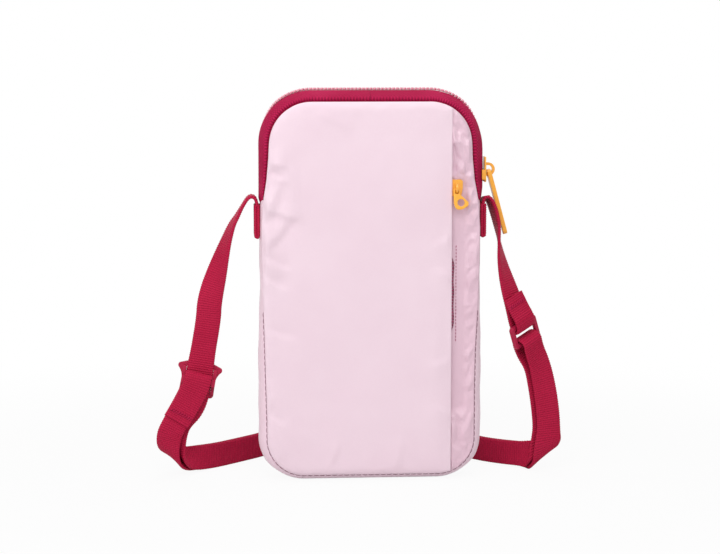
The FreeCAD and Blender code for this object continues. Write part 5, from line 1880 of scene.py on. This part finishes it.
@dataclass
class MainZip:
    """The zip over the top: two tapes, two rows of teeth, its slider and its pull.

    Attributes:
        shape: The pouch's outline.
        pitch: From tooth to tooth.
        open_height: Below this the rows stand apart for the slider.
        apart: How far each row then moves out.
        parting: The rows part in so many pitches.
        first_tooth: How far above the zip's lower end the first tooth stands.
        crest, sink: How far the teeth stand out over the top, and lie deeper on the flanks.
        wall: Thickness of the tapes.
        tuck: How far the tapes run on under the gusset.
        end_dip: How far their ends dip there.
        inside: How far inside the outline the tapes lie.
        ridge, ridge_more: How far they rise beside the teeth, and more on the right flank.
        ridge_middle, ridge_width: How far that rise lies from the middle plane, and its width.
        slider_edge, pull_edge: How far the slider's and the pull's edges are rounded.
        tooth: A tooth's width, root, tip and height.
        PROFILE: Across the tape, from under the panel's edge to the teeth: shares of the seam's inset, and of
            the seam's distance from the pouch's middle plane.
        DIPS: Distances from the tape's end between which the dip comes.
        FLANK: Heights in which the zip comes to the flanks, going down.
        RIDGE_LOW, RIDGE_HIGH: Heights in which the higher rise sets in, from below and above.
        SINKS: Heights in which the teeth come to lie deeper, going down.
    """

    shape: PouchShape
    pitch: float = 1.78
    open_height: float = 153.0
    apart: float = 1.05
    parting: int = 2
    first_tooth: float = 3.0
    crest: float = 0.15
    sink: float = 1.15
    wall: float = 0.5
    tuck: float = 2.5
    end_dip: float = 0.75
    inside: float = 0.12
    ridge: float = 0.35
    ridge_more: float = 0.75
    ridge_middle: float = 2.6
    ridge_width: float = 1.5
    slider_edge: float = 0.22
    pull_edge: float = 0.55
    tooth: tuple[float, float, float, float] = (0.86, 2.1, -0.5, 1.15)

    PROFILE = (
        *((1.2, 0.985), (1.17, 0.9), (1.12, 0.83), (1.03, 0.8), (0.96, 0.79), (0.88, 0.82), (0.78, 0.85)),
        *((0.67, 0.85), (0.56, 0.82), (0.45, 0.76), (0.35, 0.68), (0.25, 0.59), (0.16, 0.48)),
        *((0.08, 0.36), (0.03, 0.22), (0.0, 0.064)),
    )
    DIPS = (4.0, 1.0)
    FLANK = (181.0, 166.0)
    RIDGE_LOW = (134.0, 142.0)
    RIDGE_HIGH = (170.0, 158.0)
    SINKS = (183.0, 171.0)

    def tape(self, side: Side) -> bpy.types.Object:
        """One tape, from the panel's seam to the teeth, tucked under the gusset at its ends.

        Args:
            side: Front or back.

        Returns:
            The tape.
        """
        turns = np.linspace(0.0, 1.0, len(self.PROFILE))
        even_turns = np.linspace(0.0, 1.0, 26)
        depths = np.interp(even_turns, turns, [p[0] for p in self.PROFILE])
        levels = np.interp(even_turns, turns, [p[1] for p in self.PROFILE])
        steps = np.linspace(-1.0, 1.0, 361)
        rows, cloth = [], []
        for depth, v in zip(depths, levels):
            y = self.shape.seam * v
            start = self.shape.zip_start(y) - self.tuck
            a = self.shape.half_round - np.abs(steps) * (self.shape.half_round - start)
            way = np.where(steps < 0, a, -a)
            line = self.shape.outline(way)
            x, z = line[:2]
            inset = self.shape.inset(x, z) * depth
            inset = inset + self.end_dip * smooth(*(start + away for away in self.DIPS), a)
            flank = smooth(*self.FLANK, z) * (x > 0)
            higher = flank * smooth(*self.RIDGE_LOW, z) * smooth(*self.RIDGE_HIGH, z)
            beside_teeth = math.exp(-(((y - self.ridge_middle) / self.ridge_width) ** 2))
            inset = inset - (self.ridge + self.ridge_more * higher) * beside_teeth + self.inside
            rows.append(self.shape.set_in(line, inset, side.sign * y))
            cloth.append(np.stack([way, np.full(len(a), y)], axis=1))
        faces = grid_faces(len(rows), len(steps), flip=side is Side.BACK)
        name = f"main_zip_{side.word}_tape"
        made = piece_from(name, np.concatenate(rows), faces, ZIP_TAPE, np.concatenate(cloth))
        thicken(made, self.wall)
        return made

    def teeth(self, side: Side) -> bpy.types.Object:
        """One row of teeth along the crest.

        Args:
            side: Front or back.

        Returns:
            The row.
        """
        shift = self.pitch / 2 if side is Side.BACK else 0.0
        first = self.shape.zip_start(0.0) + self.first_tooth + shift
        a = np.linspace(first, self.shape.half_round, 240)
        line = self.shape.outline(np.concatenate([a, -a[-2::-1]]))
        x, z = line[:2]
        reach = self.parting * self.pitch
        parted = np.clip((self.open_height + reach - z) / reach, 0, 1) * (x > 0)
        sunk = self.sink * smooth(*self.SINKS, z) - self.crest
        path = self.shape.set_in(line, sunk, side.sign * self.apart * parted)
        width, root, tip, height = self.tooth
        tooth = tooth_shape("main_tooth", width, side.sign * root, side.sign * tip, height)
        return RowTree.lay(f"main_zip_{side.word}_row", path, tooth, self.pitch, (0.0, 1.0, 0.0), TEETH)

    def dress(self) -> None:
        """Builds the zip and sets it on its bodies."""
        for side in (Side.FRONT, Side.BACK):
            tape = settle(self.tape(side), "pouch", "zip_tape", f"main_zip_tape_{side.word}")
            under = [f"{side.word}_panel"]
            settle(self.teeth(side), "pouch", "teeth", f"main_zip_teeth_{side.word}")
        soften("main_slider", YELLOW_METAL, self.slider_edge, "main_slider")
        soften("main_pull", YELLOW_PULL, self.pull_edge, "main_pull")


@dataclass
class PocketZip:
    """The upright zip under the flap: two tapes, two rows of coil, its slider and its pull.

    Attributes:
        middle: The zip's place across the pouch.
        low, high: Its ends.
        level: How far out the tapes' faces lie.
        pitch: From coil to coil.
        near, far: Where a tape starts and ends, from the zip's middle.
        wall: Thickness of the tapes.
        margin: How far the coil stops short of the tapes' ends.
        coil_middle: How far each row of coil lies from the zip's middle.
        coil_sunk: How far it is sunk into the tape.
        wave, wave_turn: How far the tapes' outer edges wave, and in radians a millimetre how fast.
        slider_edge, pull_edge: How far the slider's and the pull's edges are rounded.
        tooth: A coil's width, root, tip and height.
    """

    middle: float = 40.5
    low: float = 24.0
    high: float = 146.0
    level: float = 7.7
    pitch: float = 1.5
    near: float = 0.55
    far: float = 6.2
    wall: float = 0.45
    margin: float = 1.5
    coil_middle: float = 1.075
    coil_sunk: float = 0.1
    wave: float = 0.07
    wave_turn: float = 0.9
    slider_edge: float = 0.15
    pull_edge: float = 0.3
    tooth: tuple[float, float, float, float] = (1.0, -0.65, 0.75, 0.68)

    def tape(self, side: Side) -> bpy.types.Object:
        """One tape, with the slight waves of sewn tape.

        Args:
            side: Left or right.

        Returns:
            The tape.
        """
        columns = np.linspace(self.near, self.far, 14) * side.sign
        if side is Side.LEFT:
            columns = columns[::-1]
        heights = np.linspace(self.low, self.high, 160)
        points, cloth = [], []
        for z in heights:
            for x in columns:
                wave = self.wave * math.sin(z * self.wave_turn + x) * (abs(x) / self.far)
                points.append((self.middle + x, -self.level - wave, z))
                cloth.append((z, x))
        name = f"pocket_zip_{side.word}_tape"
        faces = grid_faces(len(heights), len(columns))
        made = piece_from(name, np.array(points), faces, POCKET_TAPE, np.array(cloth))
        thicken(made, self.wall)
        return made

    def coil(self, side: Side) -> bpy.types.Object:
        """One row of the coil.

        Args:
            side: Left or right.

        Returns:
            The row.
        """
        shift = self.pitch / 2 if side is Side.RIGHT else 0.0
        heights = np.linspace(self.low + self.margin + shift, self.high - self.margin, 60)
        x = self.middle + side.sign * self.coil_middle
        path = np.array([(x, -self.level + self.coil_sunk, z) for z in heights])
        tooth = tooth_shape("pocket_tooth", *self.tooth)
        return RowTree.lay(f"pocket_zip_{side.word}_coil", path, tooth, self.pitch, (-1.0, 0.0, 0.0), ZIP_COIL)

    def dress(self) -> None:
        """Builds the zip and sets it on its bodies."""
        for side in (Side.LEFT, Side.RIGHT):
            tape = settle(self.tape(side), "pouch", "zip_tape", f"pocket_zip_tape_{side.word}")
            settle(self.coil(side), "pouch", "teeth", f"pocket_zip_teeth_{side.word}")
        soften("pocket_slider", YELLOW_METAL, self.slider_edge, "pocket_slider")
        soften("pocket_pull", YELLOW_PULL, self.pull_edge, "pocket_pull")


def soften(node: str, finish: HardFinish, width: float, body: str) -> bpy.types.Object:
    """A moulded copy of a hard node, with rounded edges, in its place.

    Args:
        node: The node.
        finish: What it is made of, named after its material slot in the record.
        width: How far the rounding reaches in from an edge.
        body: The body that it rides on.

    Returns:
        The copy.
    """
    name = f"{node}_shaped"
    mesh = bmesh.new()
    mesh.from_mesh(FRAME["nodes"][node].data)
    bmesh.ops.remove_doubles(mesh, verts=mesh.verts, dist=NODE_MERGE)
    bmesh.ops.dissolve_limit(mesh, angle_limit=math.radians(1.0), verts=mesh.verts, edges=mesh.edges)
    sharp = [e for e in mesh.edges if e.is_manifold and e.calc_face_angle() > math.radians(30)]
    bmesh.ops.bevel(
        mesh,
        geom=sharp,
        offset=width * MM,
        offset_type="OFFSET",
        segments=3,
        profile=0.6,
        affect="EDGES",
        clamp_overlap=True,
    )
    copy = bpy.data.meshes.new(name)
    mesh.to_mesh(copy)
    mesh.free()
    copy.materials.clear()
    copy.materials.append(finish.material())
    copy.polygons.foreach_set("use_smooth", np.ones(len(copy.polygons), bool))
    copy.polygons.foreach_set("material_index", np.zeros(len(copy.polygons), np.int32))
    copy.set_sharp_from_angle(angle=math.radians(50))
    return settle(put_in_scene(name, copy), body, finish.name, node)


@dataclass
class Fittings:
    """The moulded adjuster and ring, and what lies inside the pouch.

    Attributes:
        adjuster_edge: How far the adjuster's rounding reaches in from its edges.
        ring_edge: How far the ring's rounding reaches in.
        INSIDE: The nodes inside the pouch, by finish.
    """

    adjuster_edge: float = 0.4
    ring_edge: float = 0.5

    INSIDE = {
        PADDING: ("front_foam", "back_foam"),
        LINING: ("pocket_lining", "front_lining", "back_lining", "gusset_lining"),
    }

    def dress(self) -> None:
        """Moulds the fittings and gives the inner nodes their finishes."""
        soften("strap_adjuster", RASPBERRY_PLASTIC, self.adjuster_edge, "adjuster")
        soften("strap_ring", RASPBERRY_PLASTIC, self.ring_edge, "ring")
        for finish, nodes in self.INSIDE.items():
            for node in nodes:
                piece = FRAME["nodes"][node]
                piece.data.materials.clear()
                piece.data.materials.append(finish.material())
                LOG.info("%s: %s", node, finish.name)


@dataclass
class Studio:
    """Floor, light and camera.

    Attributes:
        target: What the camera looks at, in metres.
        heading: The camera's direction from the target.
        distance: How far away it stands, in metres.
        lens: Its focal length, in millimetres.
        floor_half: Half the floor's side, in metres.
        ambient: Strength of the light from all round.
        LAMPS: Name, place in metres, size in metres and power of each lamp.
    """

    target: Point = (-0.0047, 0.0, 0.0977)
    heading: Point = (-0.0692, -0.990, 0.1219)
    distance: float = 0.9
    lens: float = 93.75
    floor_half: float = 4.0
    ambient: float = 0.28

    LAMPS = (
        ("key_lamp", (-0.15, -0.72, 0.76), 0.7, 5.2),
        ("fill_lamp", (0.85, -0.75, 0.4), 0.9, 2.0),
        ("left_lamp", (-0.9, -0.5, 0.3), 0.7, 3.0),
        ("top_lamp", (0.05, 0.1, 1.2), 0.9, 5.0),
    )

    @staticmethod
    def seen(bench: NodeBench) -> bpy.types.NodeSocket:
        """1 for rays from the camera, a gloss or glass, and 0 for the light that falls on the pouch.

        Args:
            bench: The material's or the world's bench.

        Returns:
            The mask.
        """
        rays = bench.put("ShaderNodeLightPath").outputs
        direct = bench.math("MAXIMUM", rays["Is Camera Ray"], rays["Is Glossy Ray"])
        return bench.math("MAXIMUM", direct, rays["Is Transmission Ray"])

    def camera(self) -> None:
        """Stands the camera at the photograph's viewing angle."""
        data = bpy.data.cameras.new("camera")
        data.lens = self.lens
        data.sensor_width = 36.0
        data.clip_end = 20.0
        made = put_in_scene("camera", data)
        way = Vector(self.heading).normalized()
        made.location = Vector(self.target) + way * self.distance
        made.rotation_euler = way.to_track_quat("Z", "Y").to_euler()
        bpy.context.scene.camera = made

    def floor(self) -> None:
        """A pale floor that keeps a soft shadow near the pouch and fades to white."""
        mesh = bpy.data.meshes.new("floor")
        half = self.floor_half
        corners = [(-half, -half, 0), (half, -half, 0), (half, half, 0), (-half, half, 0)]
        mesh.from_pydata(corners, [], [(0, 1, 2, 3)])
        made = put_in_scene("floor", mesh)
        paint, bench, shader = start_material("floor_white")
        shader.inputs["Base Color"].default_value = (0.7, 0.7, 0.7, 1.0)
        shader.inputs["Roughness"].default_value = 0.9
        shader.inputs["Specular IOR Level"].default_value = 0.1
        spot = bench.put("ShaderNodeTexCoord").outputs["Object"]
        far = bench.put("ShaderNodeVectorMath", {"operation": "LENGTH"}, {0: spot}).outputs["Value"]
        # From 0.14 m to 0.4 m from the pouch's middle, white takes over from the shaded floor.
        ranges = {0: far, 1: 0.14, 2: 0.4, 3: 0.93, 4: 1.0}
        fade = bench.put("ShaderNodeMapRange", {"interpolation_type": "SMOOTHSTEP"}, ranges)
        share = bench.math("MULTIPLY", self.seen(bench), fade.outputs[0])
        glow = bench.put("ShaderNodeEmission", None, {"Color": (1, 1, 1, 1), "Strength": 1.0})
        mixed = bench.put("ShaderNodeMixShader", None, {0: share, 1: shader.outputs[0], 2: glow.outputs[0]})
        bench.feed(paint.node_tree.nodes["Material Output"], "Surface", mixed.outputs[0])
        mesh.materials.append(paint)

    def light(self) -> None:
        """Soft light from all round and four large lamps: in front, at the right, at the left and overhead."""
        world = bpy.data.worlds.new("studio")
        world.use_nodes = True
        bpy.context.scene.world = world
        bench = NodeBench(world.node_tree)
        seen = self.seen(bench)
        white = (1, 1, 1, 1)
        around = bench.put("ShaderNodeBackground", None, {"Color": white, "Strength": self.ambient})
        plain = bench.put("ShaderNodeBackground", None, {"Color": white, "Strength": 1.0})
        mixed = bench.put("ShaderNodeMixShader", None, {0: seen, 1: around.outputs[0], 2: plain.outputs[0]})
        bench.feed(world.node_tree.nodes["World Output"], "Surface", mixed.outputs[0])
        for name, spot, size, power in self.LAMPS:
            data = bpy.data.lights.new(name, "AREA")
            data.size = size
            data.energy = power
            lamp = put_in_scene(name, data)
            lamp.location = spot
            lamp.rotation_euler = (Vector(spot) - Vector(self.target)).to_track_quat("Z", "Y").to_euler()

    def set_up(self) -> None:
        """Everything round the pouch."""
        bpy.context.scene.view_settings.view_transform = "Standard"
        self.camera()
        self.floor()
        self.light()


def main() -> None:
    """Loads the frame and dresses each sub-assembly in order."""
    logging.basicConfig(level=logging.INFO, format="%(name)s %(message)s")
    FRAME.update(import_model())
    Studio().set_up()
    shape = PouchShape()
    Strap().dress()
    Panels(shape).dress()
    Gusset(shape).dress()
    SideStrip(shape).dress()
    MainZip(shape).dress()
    PocketZip().dress()
    Fittings().dress()


if __name__ == "__main__":
    main()
